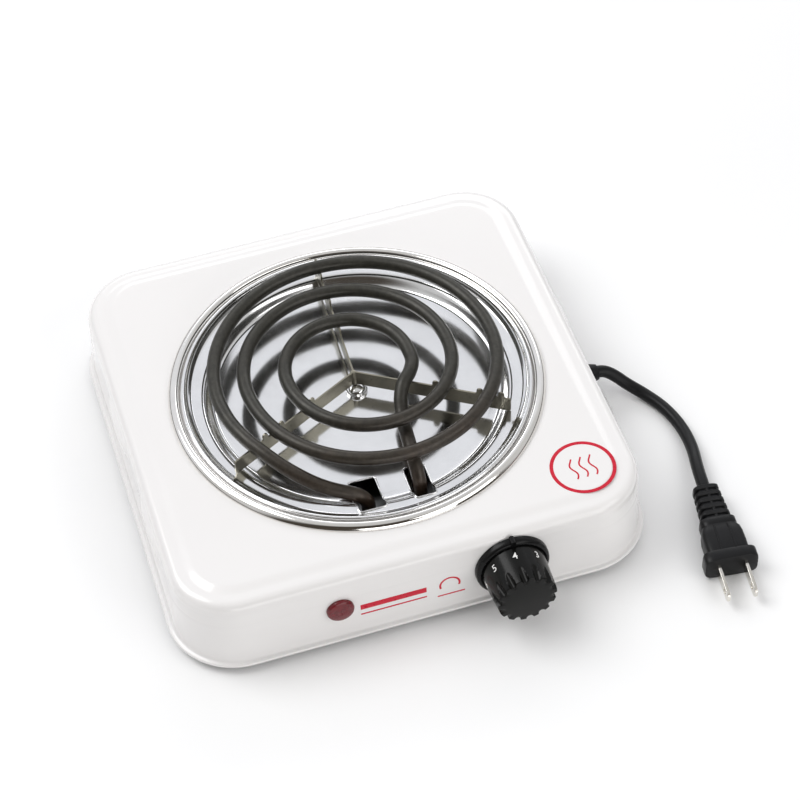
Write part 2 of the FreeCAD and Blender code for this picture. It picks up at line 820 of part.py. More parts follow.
def coil_support():
    """Three strips on edge, welded at the centre, with nubs beside the tubes they carry."""
    strips = []
    length, tall, thick = num("arm_length"), num("arm_tall"), num("arm_sheet")
    width, rise, gap = num("nub_width"), num("nub_tall"), num("nub_gap")
    low = num("ledge_level")
    radius = num("coil_radius")
    for arm in range(ARMS):
        degrees = 90 - num("arm_turn") + arm * 360 / ARMS
        pieces = [Part.makeBox(length, thick, tall, V(0, -thick / 2, low))]
        carried = crossings(degrees)
        beside = [reach - radius - gap - width for reach in carried]
        beside.append(carried[-1] + radius + gap)
        for start in beside:
            nub = Part.makeBox(width, thick, rise - width / 2, V(start, -thick / 2, low + tall))
            crown = V(start + width / 2, -thick / 2, low + tall + rise - width / 2)
            tip = Part.makeCylinder(width / 2, thick, crown, Y_AXIS)
            pieces.extend([nub, tip])
        strip = pieces[0].multiFuse(pieces[1:]).removeSplitter()
        strip.rotate(V(), Z_AXIS, degrees)
        strips.append(strip)
    support = made("support_strips", strips[0].multiFuse(strips[1:]).removeSplitter())
    return node(place(support, "support_x", "support_y"), "coil_support")


def coil_ends():
    """Cold pins, ceramic beads, crimps and the plate that clamps the two legs."""
    legs = (("left", "-leg_left"), ("right", "leg_right"))
    pins = [cylinder(f"pin_{name}", "pin_radius", "leg_end - pin_end", x, "-leg_ahead", "pin_end")
            for name, x in legs]
    node(place(group("pin_set", pins)), "coil_terminal_pins")
    beads = []
    for name, x in legs:
        ring = cylinder(f"bead_{name}", "coil_radius * 0.9", "bead_tall", x, "-leg_ahead",
                        "leg_end - bead_tall")
        bore = cylinder(f"bead_bore_{name}", "pin_radius", "40", x, "-leg_ahead")
        beads.append(cut(f"bead_cut_{name}", ring, [bore]))
    node(place(group("bead_set", beads)), "coil_insulators")
    crimps = []
    for (name, x), shift in zip(legs, ("-crimp_length * 0.6", "-crimp_length * 0.4")):
        barrel = cylinder(f"crimp_{name}", "crimp_radius", "crimp_length", x,
                          f"-leg_ahead + ({shift}) + crimp_length", "pin_end - crimp_radius")
        barrel.Placement.Rotation = FreeCAD.Rotation(X_AXIS, 90)
        crimps.append(barrel)
    node(place(group("crimp_set", crimps)), "crimp_terminals")
    middle = "(leg_right - leg_left) / 2"
    plate = block("clamp_floor", "clamp_width", "clamp_depth", "bracket_sheet", middle, "-leg_ahead + 1.2",
                  "clamp_level")
    sides = [block(f"clamp_side_{side + 1}", "bracket_sheet", "clamp_depth", "bowl_under - clamp_level",
                   f"{middle} + {side} * (clamp_width - bracket_sheet) / 2", "-leg_ahead + 5.2",
                   "clamp_level")
             for side in (-1, 1)]
    holes = [cylinder(f"clamp_hole_{name}", "coil_radius", "10", x, "-leg_ahead", "clamp_level - 5")
             for name, x in legs]
    node(place(cut("clamp_cut", fuse("clamp_folded", [plate, *sides]), holes)), "terminal_bracket")


# ---- control knob --------------------------------------------------------------------------------

def knob_bezel():
    """The fixed dish behind the knob, with the pointer at its top."""
    dish = turned("bezel_body", [
        ("bezel_recess", "0"),
        ("bezel_radius", "0"),
        ("bezel_radius", "bezel_tall - bezel_lip", "bezel_lip"),
        ("bezel_radius - bezel_lip", "bezel_tall"),
        ("bush_radius + 0.6", "bezel_tall"),
        ("bush_radius + 0.6", "nut_tall + 0.3"),
        ("bezel_recess", "nut_tall + 0.3"),
    ])
    pointer = block("bezel_pointer", "pointer_width", "4", "bezel_tall * 0.86", "0",
                    "bezel_radius + pointer_proud - 2", "0")
    return node(place_on_front(fuse("bezel_fuse", [dish, pointer]), "knob_right"), "knob_bezel")


def flute_tools():
    """Tilted round cutters round the knob's grip: each starts flush and deepens to the face."""
    radius = num("flute_radius")
    start = V(num("knob_back") + radius - 0.2, 0, num("flute_start"))
    end = V(num("knob_face") + radius, 0, num("knob_length") - num("knob_dome"))
    run = end - start
    tools = []
    for index in range(KNOB_FLUTES):
        tool = Part.makeCylinder(radius, run.Length + 4, start, run)
        tool = tool.fuse(Part.makeSphere(radius, start))
        tool.rotate(V(), Z_AXIS, 90 + num("knob_turned") + 360 / KNOB_FLUTES * index)
        tools.append(tool)
    return made("knob_flutes", Part.makeCompound(tools))


def control_knob():
    """A hollow fluted knob with a hub that is bored for the spindle."""
    seat = "spindle_out - bezel_tall - knob_gap"
    curve = "(knob_front ^ 2 + knob_dome ^ 2) / (2 * knob_dome)"
    skin = turned("knob_body", [
        ("spindle_radius", "0.6"),
        ("hub_radius", "0.6"),
        ("hub_radius", "knob_length - knob_wall - knob_dome"),
        ("knob_front - knob_wall * 1.9", "knob_length - knob_wall - knob_dome"),
        ("knob_back - knob_wall", "0"),
        ("knob_back", "0"),
        ("knob_front", "knob_length - knob_dome", curve),
        ("0", "knob_length"),
        ("0", seat),
        ("spindle_radius", seat),
    ])
    knob = cut("knob_cut", skin, [flute_tools()])
    lifted = group("knob_group", [knob])
    knob.setExpression("Placement.Base.z", expr("bezel_tall + knob_gap"))
    return node(place_on_front(lifted, "knob_right"), "control_knob")


def spindle_parts():
    """The D-ended spindle, the spring on its flat, the threaded bush with its plate, and the nut."""
    rod = cylinder("spindle_rod", "spindle_radius", "spindle_out + spindle_in", z="-spindle_in")
    collar = cylinder("spindle_collar", "collar_radius", "1.4", z="-sheet - plate_sheet - 0.3 - 1.4")
    flat = block("spindle_flat", "10", "flat_depth * 2", "flat_length + 1", "0", "spindle_radius",
                 "spindle_out - flat_length")
    spindle = cut("spindle_cut", fuse("spindle_blank", [rod, collar]), [flat])
    node(place_on_front(spindle, "knob_right"), "thermostat_spindle")
    spring = block("spring_leaf", "3", "0.5", "flat_length - 1", "0", "spindle_radius - flat_depth + 0.25",
                   "spindle_out - flat_length + 0.5")
    node(place_on_front(group("spring_group", [spring]), "knob_right"), "knob_spring")
    bush = cylinder("bush_tube", "bush_radius", "bush_out + sheet + plate_sheet", z="-sheet - plate_sheet")
    plate = block("frame_plate", "plate_wide", "plate_high", "plate_sheet", z="-sheet - plate_sheet")
    depth = "leaf_first + 3 * leaf_step"
    arm = block("frame_arm", "plate_sheet", "leaf_wide + 4", f"{depth} - sheet",
                "-plate_wide / 2 + plate_sheet / 2", "0", f"-({depth})")
    guide = block("frame_guide", "plate_wide / 2 + 5", "leaf_wide + 4", "1", "-plate_wide / 4 + 2.5", "0",
                  "-adjuster_top - 2.4")
    shelf = block("frame_shelf", "plate_wide / 2 - 4.5", "leaf_wide + 4", "1", "-plate_wide / 4 - 2.25", "0",
                  f"-({depth})")
    bore = cylinder("bush_bore", "spindle_bore", "10", z="-5")
    guide_bore = cylinder("guide_bore", "adjuster_radius + running_gap", "6", z="-adjuster_top - 5")
    slot = block("frame_slot", "4", "leaf_wide + 1", "1.6", "-plate_wide / 2", "0", "-leaf_first - 1")
    frame = cut("frame_cut", fuse("frame_blank", [bush, plate, arm, guide, shelf]), [bore, guide_bore, slot])
    node(place_on_front(frame, "knob_right"), "thermostat_frame")
    nut = hexagon("panel_nut_blank", "nut_flats", "nut_tall")
    nut_bore = cylinder("panel_nut_bore", "bush_radius", "10", z="-2")
    node(place_on_front(cut("panel_nut_cut", nut, [nut_bore]), "knob_right"), "thermostat_nut")
    pin = cylinder("adjuster_rod", "adjuster_radius", "adjuster_end - adjuster_top", z="-adjuster_end")
    node(place_on_front(group("adjuster_group", [pin]), "knob_right"), "adjuster_pin")


def leaf(name, level, left, right):
    """A flat strip of the switch, pierced for the rivet's sleeve."""
    middle = f"(({right}) + ({left})) / 2"
    strip = block(f"{name}_strip", f"({right}) - ({left})", "leaf_wide", "leaf_sheet", middle, "0",
                  f"-({level}) - leaf_sheet")
    hole = cylinder(f"{name}_hole", "rivet_radius", "40", "-stack_left", "0", "-40")
    return node(place_on_front(cut(f"{name}_cut", strip, [hole]), "knob_right"), name)


def thermostat_switch():
    """Leaves between ceramic washers on one rivet, with the contacts at their free ends."""
    leaf("moving_leaf", "leaf_first", "-19", "8")
    leaf("fixed_leaf", "leaf_first + leaf_step", "-11.4", "17")
    leaf("bimetal_strip", "leaf_first + 2 * leaf_step", "-11.4", "9")
    guide_under = "adjuster_top + 2.4"
    gaps = [(guide_under, "leaf_first")]
    gaps += [(f"leaf_first + {k} * leaf_step + leaf_sheet", f"leaf_first + {k + 1} * leaf_step")
             for k in range(3)]
    gaps[-1] = ("leaf_first + 2 * leaf_step + leaf_sheet", "leaf_first + 3 * leaf_step - 1")
    washers = []
    for index, (near, far) in enumerate(gaps):
        ring = cylinder(f"washer_{index}", "insulator_radius", f"({far}) - ({near})", "-stack_left", "0",
                        f"-({far})")
        hole = cylinder(f"washer_hole_{index}", "rivet_radius", "40", "-stack_left", "0", "-40")
        washers.append(cut(f"washer_cut_{index}", ring, [hole]))
    node(place_on_front(group("washer_set", washers), "knob_right"), "thermostat_insulators")
    shank = cylinder("rivet_shank", "rivet_radius", f"leaf_first + 3 * leaf_step - 1 - ({guide_under})",
                     "-stack_left", "0", "-(leaf_first + 3 * leaf_step - 1)")
    node(place_on_front(group("rivet_group", [shank]), "knob_right"), "thermostat_rivet")
    buttons = [
        cylinder("contact_moving", "1.6", "0.9", "6", "0", "-leaf_first - leaf_sheet - 0.9"),
        cylinder("contact_fixed", "1.6", "0.9", "6", "0", "-leaf_first - leaf_step"),
    ]
    node(place_on_front(group("button_set", buttons), "knob_right"), "contact_buttons")


# ---- pilot light ---------------------------------------------------------------------------------

def pilot_light():
    curve = "(lens_radius ^ 2 + (lens_proud - 0.8) ^ 2) / (2 * (lens_proud - 0.8))"
    lens = turned("lens_body", [
        ("bulb_radius + 0.8", "-neck_length"),
        ("neck_radius", "-neck_length"),
        ("neck_radius", "0"),
        ("lens_radius", "0"),
        ("lens_radius", "0.8", curve),
        ("0", "lens_proud"),
        ("0", "0.6"),
        ("bulb_radius + 0.8", "0.6"),
    ])
    node(place_on_front(lens, "-pilot_left"), "pilot_lens")
    ring = cylinder("clip_ring", "neck_radius + 2.6", "0.9", z="-sheet - 0.9")
    hole = cylinder("clip_hole", "neck_radius", "10", z="-5")
    node(place_on_front(cut("clip_cut", ring, [hole]), "-pilot_left"), "pilot_clip")
    holder = cylinder("holder_body", "neck_radius - 0.3", "lamp_length", z="-neck_length - lamp_length")
    node(place_on_front(group("holder_group", [holder]), "-pilot_left"), "pilot_lamp_holder")
    bulb = cylinder("bulb_glass", "bulb_radius", "neck_length - 1.4", z="-neck_length")
    tip = doc.addObject("Part::Sphere", "bulb_tip")
    bind(tip, Radius="bulb_radius")
    tip.setExpression("Placement.Base.z", expr("-1.4 - 0.2"))
    low_tip = doc.addObject("Part::Cut", "bulb_tip_dome")
    low_tip.Base = tip
    low_tip.Tool = block("bulb_trim", "10", "10", "10", z="-11.6")
    node(place_on_front(fuse("bulb_fuse", [bulb, low_tip]), "-pilot_left"), "neon_lamp")


# ---- mains cord, plug and wiring -----------------------------------------------------------------

# The free cord's route after the bush's face, in the frame of the pressing, up to the plug's sleeve.
CORD_ROUTE = [
    (123.8, -6.0, 13.6),
    (128.6, -8.2, 11.2),
    (134.2, -12.4, 6.6),
    (140.8, -18.4, 3.6),
    (147.2, -29.6, 3.0),
    (150.6, -43.6, 3.0),
    (150.2, -58.8, 4.0),
    (146.4, -73.4, 7.0),
    (144.9, -86.5, 7.0),
]
PLUG_HEADING = (-1.5, -13.1)


def mains_cord():
    start = V(num("cord_wall + relief_out"), -num("cord_ahead"), num("cord_level"))
    edges, radii = rounded_route([start] + [V(*spot) for spot in CORD_ROUTE])
    solid, length = tube_along(edges, num("cord_diameter"))
    print("cord length", round(length, 1), "radii", [round(radius, 1) for radius in radii])
    return node(place(made("cord_sweep", solid)), "mains_cord")


def strain_relief():
    """The bush that grips the cord in the side wall: a collar inside, a head and a taper outside."""
    spot = ("-cord_ahead", "cord_level")
    sleeve = cylinder("relief_sleeve", "bush_outer", "relief_in + relief_head", "cord_wall - relief_in",
                      *spot)
    head = cone("relief_head_cone", "bush_head", "bush_head - 1.4", "relief_head - 0.4",
                "cord_wall + 0.4", *spot)
    taper = cone("relief_taper", "bush_outer", "relief_tip", "relief_out - relief_head",
                 "cord_wall + relief_head", *spot)
    collar = cylinder("relief_collar", "bush_head", "2.4", "cord_wall - 4.6", *spot)
    pieces = [sleeve, head, taper, collar]
    for piece in pieces:
        piece.Placement.Rotation = FreeCAD.Rotation(Y_AXIS, 90)
    return node(place(fuse("relief_fuse", pieces)), "strain_relief")


def plug_frame():
    """The plug's own frame: origin where the cord enters, X along the way to the blades, lying flat."""
    start = V(*CORD_ROUTE[-1])
    angle = math.degrees(math.atan2(PLUG_HEADING[1], PLUG_HEADING[0]))
    spot = start + V(0, num("front_shift"), 0)
    return FreeCAD.Placement(spot, FreeCAD.Rotation(Z_AXIS, angle))


def soft_block(length, width, height, start, radius):
    """A box along X, centred on the axis, with its long edges rounded."""
    solid = Part.makeBox(length, width, height, V(start, -width / 2, -height / 2))
    long_edges = [edge for edge in solid.Edges if abs(edge.tangentAt(edge.FirstParameter).x) > 0.9]
    return solid.makeFillet(radius, long_edges)


def plug_body():
    """A moulded plug: a ribbed sleeve, a thicker grip, a wide shoulder and a flange at the blades."""
    pitch, wide, high = num("rib_pitch"), num("rib_wide"), num("rib_high")
    groove, joint = 2.0, 0.2
    pieces = []
    for rib in range(PLUG_RIBS):
        spread = wide + 0.5 * rib
        depth = high + 0.3 * rib
        pieces.append(soft_block(pitch * 0.62, spread, depth, pitch * rib, 3.4))
        pieces.append(soft_block(pitch * 0.38 + 2 * joint, spread - groove, depth - groove,
                                 pitch * (rib + 0.62) - joint, 2.8))
    grip, shoulder, flange, face = (num(name) for name in ("grip_start", "shoulder_start", "flange_start",
                                                           "plug_face"))
    pieces.append(soft_block(shoulder - grip + joint, num("grip_wide"), 11.6, grip, 3.6))
    pieces.append(soft_block(flange - shoulder + joint, num("shoulder_wide"), 12.0, shoulder, 3.2))
    pieces.append(soft_block(face - flange, num("flange_wide"), num("flange_high"), flange, 3.0))
    solid = pieces[0].multiFuse(pieces[1:]).removeSplitter()
    plug = made("plug_solid", solid)
    plug.Placement = plug_frame()
    return node(plug, "plug_body")


def plug_blades():
    """Two flat blades with chamfered tips, each pierced near its end."""
    blades = []
    face, length, width, thick = (num(name) for name in ("plug_face", "blade_length", "blade_width",
                                                         "blade_sheet"))
    for side in (-1, 1):
        centre = side * num("blade_pitch") / 2
        blade = Part.makeBox(length, thick, width, V(face, centre - thick / 2, -width / 2))
        tip = [edge for edge in blade.Edges
               if abs(edge.BoundBox.XMin - face - length) < 1e-6 and edge.BoundBox.YLength > 1e-3]
        blade = blade.makeChamfer(num("blade_tip"), tip)
        hole_spot = V(face + length - num("hole_back"), centre - 2, 0)
        blade = blade.cut(Part.makeCylinder(num("blade_hole"), 4, hole_spot, Y_AXIS))
        blades.append(blade)
    pair = made("blade_pair", Part.makeCompound(blades))
    pair.Placement = plug_frame()
    return node(pair, "plug_blades")


def terminal_block():
    spot = ("block_right", "-cord_ahead")
    base = block("porcelain", "block_long", "block_wide", "block_tall", *spot, "base_top")
    wells = [cylinder(f"well_{side + 1}", "2.6", "4", "block_right", f"-cord_ahead + {side} * 4.4",
                      "base_top + block_tall - 3") for side in (-1, 1)]
    node(place(cut("block_cut", base, wells)), "terminal_block")
    screws = []
    for side in (-1, 1):
        y = f"-cord_ahead + {side} * 4.4"
        head = cylinder(f"block_head_{side + 1}", "2.3", "2.2", "block_right", y, "base_top + block_tall - 3")
        slot = block(f"block_slot_{side + 1}", "6", "0.7", "1", "block_right", y,
                     "base_top + block_tall - 1.6")
        screws.append(cut(f"block_screw_{side + 1}", head, [slot]))
    node(place(group("block_screw_set", screws)), "block_screws")


def lead(points):
    solid, _ = tube_along(rounded_route([V(*spot) for spot in points])[0], num("lead_diameter"))
    return solid


def internal_leads():
    """Insulated wires: cord cores to the block, block to thermostat, thermostat to coil, coil to block."""
    wall = num("cord_wall - relief_in")
    back, level = -num("cord_ahead"), num("cord_level")
    left, right = -num("leg_left"), num("leg_right")
    ahead, barrel = num("leg_ahead"), num("crimp_length")
    low = num("pin_end") - num("crimp_radius")
    near = num("block_right") - num("block_long") / 2
    far = num("block_right") + num("block_long") / 2
    cores = [lead([(wall, back + side * 1.5, level), (wall - 3.5, back + side * 1.5, level),
                   (far + 3.5, back + side * 4.4, level), (far, back + side * 4.4, level)])
             for side in (-1, 1)]
    tilt = math.radians(num("wall_tilt"))
    depth = {"moving": num("leaf_first"), "fixed": num("leaf_first + leaf_step")}
    wall_y, wall_z = -num("control_y"), num("control_z")
    tab = {name: (wall_y + reach * math.cos(tilt), wall_z - reach * math.sin(tilt))
           for name, reach in depth.items()}
    tab_left = num("knob_right") - 19
    tab_right = num("knob_right") + 17
    start = -ahead - 0.6 * barrel
    load = lead([(left, start, low), (left, start - 9, low), (left + 14, tab["moving"][0] - 1, low + 5),
                 (tab_left - 10, tab["moving"][0], tab["moving"][1]),
                 (tab_left, tab["moving"][0], tab["moving"][1])])
    live = lead([(near, back - 4.4, 12), (near - 9, back - 4.4, 12), (near - 14, back - 20, 12),
                 (near - 6, -62, 12), (near + 3, -82, 19), (tab_right + 7, tab["fixed"][0], tab["fixed"][1]),
                 (tab_right, tab["fixed"][0], tab["fixed"][1])])
    neutral = lead([(near, back + 4.4, 12), (near - 11, back + 4.4, 12), (near - 28, -14, 11),
                    (right + 6, -30, 11), (right, -44, low), (right, -ahead + 0.6 * barrel, low)])
    holder_end = num("neck_length + lamp_length")
    lamp_y = wall_y + holder_end * math.cos(tilt) + 0.1
    lamp_z = wall_z - holder_end * math.sin(tilt)
    lamp_x = -num("pilot_left")
    lamp_left = lead([(left, -ahead + 0.4 * barrel, low), (left, -48, low), (left - 16, -44, low),
                      (lamp_x - 2, -58, 16), (lamp_x - 2, lamp_y + 9, lamp_z), (lamp_x - 2, lamp_y, lamp_z)])
    lamp_right = lead([(right, -ahead - 0.4 * barrel, low), (right, -ahead - 0.4 * barrel - 4, low),
                       (right - 4, -ahead - 0.4 * barrel - 9, low - 2.6),
                       (right - 15, -81.5, 8.4), (left - 12, -79.5, 8.6), (lamp_x + 2, -76, 15),
                       (lamp_x + 2, lamp_y + 5, lamp_z), (lamp_x + 2, lamp_y, lamp_z)])
    node(place(made("core_pair", Part.makeCompound(cores))), "cord_cores")
    node(place(made("load_wire", load)), "load_lead")
    node(place(made("live_wire", live)), "live_lead")
    node(place(made("neutral_wire", neutral)), "neutral_lead")
    node(place(made("lamp_wires", Part.makeCompound([lamp_left, lamp_right]))), "pilot_leads")


# ---- build, check and write ----------------------------------------------------------------------

def check():
    for thing in doc.Objects:
        if "Invalid" in thing.State or "Error" in thing.State:
            raise RuntimeError(f"{thing.Label} failed: {thing.State}")
    for label, thing in nodes.items():
        if thing.Shape.isNull() or not thing.Shape.isValid() or not thing.Shape.Solids:
            raise RuntimeError(f"{label} has no valid shape")


def write():
    os.makedirs("parts", exist_ok=True)
    for label, thing in nodes.items():
        thing.Shape.exportStep(f"parts/{label}.step")


fill_sheet()
body_shell()
base_plate()
mounting_brackets()
feet()
trim_ring()
drip_bowl()
centre_fixing()
heating_coil()
coil_support()
coil_ends()
knob_bezel()
control_knob()
spindle_parts()
thermostat_switch()
pilot_light()
mains_cord()
strain_relief()
plug_body()
plug_blades()
terminal_block()
internal_leads()
doc.recompute()
check()
write()
print(len(nodes), "nodes; front shift", round(num("front_shift"), 3))
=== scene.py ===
"""Looks of a single-burner electric hot plate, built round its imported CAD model.

Lengths are written in millimetres and turned into metres by mm(), places come from the CAD boxes.
"""
import bpy
import bmesh
import json
import math
from mathutils import Matrix, Vector


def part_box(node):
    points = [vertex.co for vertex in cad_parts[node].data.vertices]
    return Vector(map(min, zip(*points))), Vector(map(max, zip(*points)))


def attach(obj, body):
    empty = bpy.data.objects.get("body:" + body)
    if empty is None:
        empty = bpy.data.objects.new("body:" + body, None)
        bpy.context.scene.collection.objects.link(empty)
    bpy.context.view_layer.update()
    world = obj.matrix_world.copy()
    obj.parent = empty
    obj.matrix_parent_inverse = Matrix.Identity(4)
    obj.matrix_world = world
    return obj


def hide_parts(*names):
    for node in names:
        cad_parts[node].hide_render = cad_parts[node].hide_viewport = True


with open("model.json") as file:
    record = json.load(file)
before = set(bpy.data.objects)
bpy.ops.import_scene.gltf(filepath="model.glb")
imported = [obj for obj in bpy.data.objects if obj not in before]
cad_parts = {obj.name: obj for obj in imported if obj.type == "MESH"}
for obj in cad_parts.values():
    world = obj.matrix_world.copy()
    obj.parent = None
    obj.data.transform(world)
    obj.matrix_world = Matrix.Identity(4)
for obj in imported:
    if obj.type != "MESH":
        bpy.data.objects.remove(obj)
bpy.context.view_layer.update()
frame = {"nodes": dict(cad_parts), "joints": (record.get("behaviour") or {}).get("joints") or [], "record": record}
NODES = frame["nodes"]
JOINTS = {joint["name"]: joint for joint in frame["joints"]}

# ---- places read from the CAD ---------------------------------------------------------------------


def mm(value):
    return value * 0.001


def middle(node):
    low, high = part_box(node)
    return (low + high) / 2


RING_LOW, RING_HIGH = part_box("trim_ring")
SHELL_LOW, SHELL_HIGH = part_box("body_shell")
SHIFT = (SHELL_LOW.y + SHELL_HIGH.y) / 2
PANEL_Z = RING_LOW.z
BURNER = Vector((middle("trim_ring").x, middle("trim_ring").y, 0))
AXIS = Vector(JOINTS["knob_turn"]["axis"]).normalized()
KNOB_SPOT = Vector(JOINTS["knob_turn"]["pos_m"])
LENS_SPOT = Vector((middle("pilot_lens").x, KNOB_SPOT.y, KNOB_SPOT.z))

# ---- the object's own sizes, in millimetres -------------------------------------------------------

LEAN = math.tan(math.radians(2.4))
BODY_WIDTH, BODY_DEPTH, CORNER = 220.0, 219.0, 28.5
SHEET = 0.8
TOP_Z = PANEL_Z * 1000 - 1.0
HEM_Z = SHELL_LOW.z * 1000
HOLE_RADIUS = 81.3
LEDGE_Z = PANEL_Z * 1000 - 0.9
FLOOR_Z = LEDGE_Z - 4.6
COIL_Z = LEDGE_Z + 8.2 + 3.3
COIL_TUBE = 6.6
CORD_DIAMETER = 6.0
FLUTES = 14
KNOB_TURNED = math.radians(4)

# ---- mesh helpers ---------------------------------------------------------------------------------


def new_object(name, data):
    thing = bpy.data.objects.new(name, data)
    bpy.context.scene.collection.objects.link(thing)
    return thing


def mesh_object(name, points, faces, smooth=True):
    mesh = bpy.data.meshes.new(name)
    mesh.from_pydata(points, [], faces)
    mesh.validate()
    bm = bmesh.new()
    bm.from_mesh(mesh)
    bmesh.ops.recalc_face_normals(bm, faces=bm.faces)
    bm.to_mesh(mesh)
    bm.free()
    for polygon in mesh.polygons:
        polygon.use_smooth = smooth
    if smooth:
        mesh.set_sharp_from_angle(angle=math.radians(38))
    return new_object(name, mesh)


def stacked(name, loops, closed=False, caps=False, smooth=True):
    """A skin over loops of equal count, given in millimetres: closed joins the last loop to the
    first, caps fills the two end loops."""
    count = len(loops[0])
    points = [Vector(point) * 0.001 for loop in loops for point in loop]
    faces = []
    for row in range(len(loops) if closed else len(loops) - 1):
        near, far = row * count, (row + 1) % len(loops) * count
        for k in range(count):
            after = (k + 1) % count
            faces.append((near + k, near + after, far + after, far + k))
    if caps:
        faces.append(tuple(range(count))[::-1])
        faces.append(tuple((len(loops) - 1) * count + k for k in range(count)))
    return mesh_object(name, points, faces, smooth)


def circle(radius, z, count, centre=(0, 0)):
    return [(centre[0] + radius * math.cos(math.tau * k / count),
             centre[1] + radius * math.sin(math.tau * k / count), z) for k in range(count)]


def lathe(name, profile, count=192, closed=True, centre=(0, 0)):
    """A turned piece: a profile of (radius, z), closed into a ring section or open from axis to axis."""
    inner = [point for point in profile if point[0] > 1e-4]
    piece = stacked(name, [circle(radius, z, count, centre) for radius, z in inner], closed=closed)
    if not closed:
        bm = bmesh.new()
        bm.from_mesh(piece.data)
        bmesh.ops.holes_fill(bm, edges=[edge for edge in bm.edges if edge.is_boundary], sides=0)
        bmesh.ops.recalc_face_normals(bm, faces=bm.faces)
        bm.to_mesh(piece.data)
        bm.free()
        piece.data.set_sharp_from_angle(angle=math.radians(38))
    return piece


def arc(centre, radius, start, end, steps):
    """Points of a profile's arc between two angles in degrees."""
    return [(centre[0] + radius * math.cos(math.radians(start + (end - start) * k / steps)),
             centre[1] + radius * math.sin(math.radians(start + (end - start) * k / steps)))
            for k in range(steps + 1)]


def smooth_path(points, steps=8):
    """A centripetal curve through the points."""
    path = []
    count = len(points)
    for k in range(count - 1):
        before = points[max(k - 1, 0)]
        start, end = points[k], points[k + 1]
        after = points[min(k + 2, count - 1)]
        if k == 0:
            before = start - (end - start)
        if k == count - 2:
            after = end + (end - start)
        knots = [0.0]
        for one, two in ((before, start), (start, end), (end, after)):
            knots.append(knots[-1] + max((two - one).length, 1e-9) ** 0.5)
        for step in range(steps):
            t = knots[1] + (knots[2] - knots[1]) * step / steps
            a = blend(before, start, knots[0], knots[1], t)
            b = blend(start, end, knots[1], knots[2], t)
            c = blend(end, after, knots[2], knots[3], t)
            path.append(blend(blend(a, b, knots[0], knots[2], t), blend(b, c, knots[1], knots[3], t),
                              knots[1], knots[2], t))
    return path + [points[-1]]


def blend(one, two, low, high, t):
    return one * ((high - t) / (high - low)) + two * ((t - low) / (high - low))


def tube(name, path, radius, sides=32, closed=False):
    """A round tube along a path in metres; radius is in metres, or a function of the share along."""
    count = len(path)
    loops = []
    tangent = (path[1] - path[0]).normalized()
    side = tangent.orthogonal().normalized()
    for k in range(count):
        if closed:
            ahead = (path[(k + 1) % count] - path[k - 1]).normalized()
        else:
            ahead = (path[min(k + 1, count - 1)] - path[max(k - 1, 0)]).normalized()
        side = (side - ahead * side.dot(ahead)).normalized()
        other = ahead.cross(side)
        size = radius(k / (count - 1)) if callable(radius) else radius
        loops.append([(path[k] + (side * math.cos(math.tau * j / sides)
                                  + other * math.sin(math.tau * j / sides)) * size) * 1000
                      for j in range(sides)])
    return stacked(name, loops, closed=closed, caps=not closed)


def prism(name, outline, thickness, bevel=0.0, segments=2):
    """A flat plate: an outline of (x, y) in millimetres, thickened upwards, edges rounded."""
    count = len(outline)
    points = [Vector((x, y, z)) * 0.001 for z in (0, thickness) for x, y in outline]
    faces = [tuple(range(count))[::-1], tuple(range(count, 2 * count))]
    faces += [(k, (k + 1) % count, count + (k + 1) % count, count + k) for k in range(count)]
    piece = mesh_object(name, points, faces, smooth=False)
    if bevel:
        round_edges(piece, bevel, segments)
    return piece


def round_edges(piece, width, segments=3, angle=35):
    modifier = piece.modifiers.new("edges", "BEVEL")
    modifier.width = mm(width)
    modifier.segments = segments
    modifier.limit_method = "ANGLE"
    modifier.angle_limit = math.radians(angle)
    modifier.harden_normals = True
    for polygon in piece.data.polygons:
        polygon.use_smooth = True


def apply_modifiers(piece):
    graph = bpy.context.evaluated_depsgraph_get()
    mesh = bpy.data.meshes.new_from_object(piece.evaluated_get(graph))
    piece.modifiers.clear()
    piece.data = mesh


def cut_away(piece, cutters):
    """Cut closed cutters out of a piece, then remove them."""
    for cutter in cutters:
        modifier = piece.modifiers.new("cut", "BOOLEAN")
        modifier.operation = "DIFFERENCE"
        modifier.solver = "EXACT"
        modifier.object = cutter
    bpy.context.view_layer.update()
    apply_modifiers(piece)
    for cutter in cutters:
        bpy.data.objects.remove(cutter)


def move(piece, matrix):
    piece.data.transform(matrix)
    return piece


def wall_frame(spot):
    """The front wall's frame: Z is the wall's outward normal, X runs to the right, Y goes up."""
    across = Vector((1, 0, 0))
    up = AXIS.cross(across)
    turn = Matrix((across, up, AXIS)).transposed().to_4x4()
    return Matrix.Translation(spot) @ turn


def finish_piece(piece, material, slot, body, *stands_for):
    piece.data.materials.clear()
    piece.data.materials.append(material)
    if stands_for:
        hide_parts(*stands_for)
    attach(piece, body)
    return piece


# ---- materials ------------------------------------------------------------------------------------


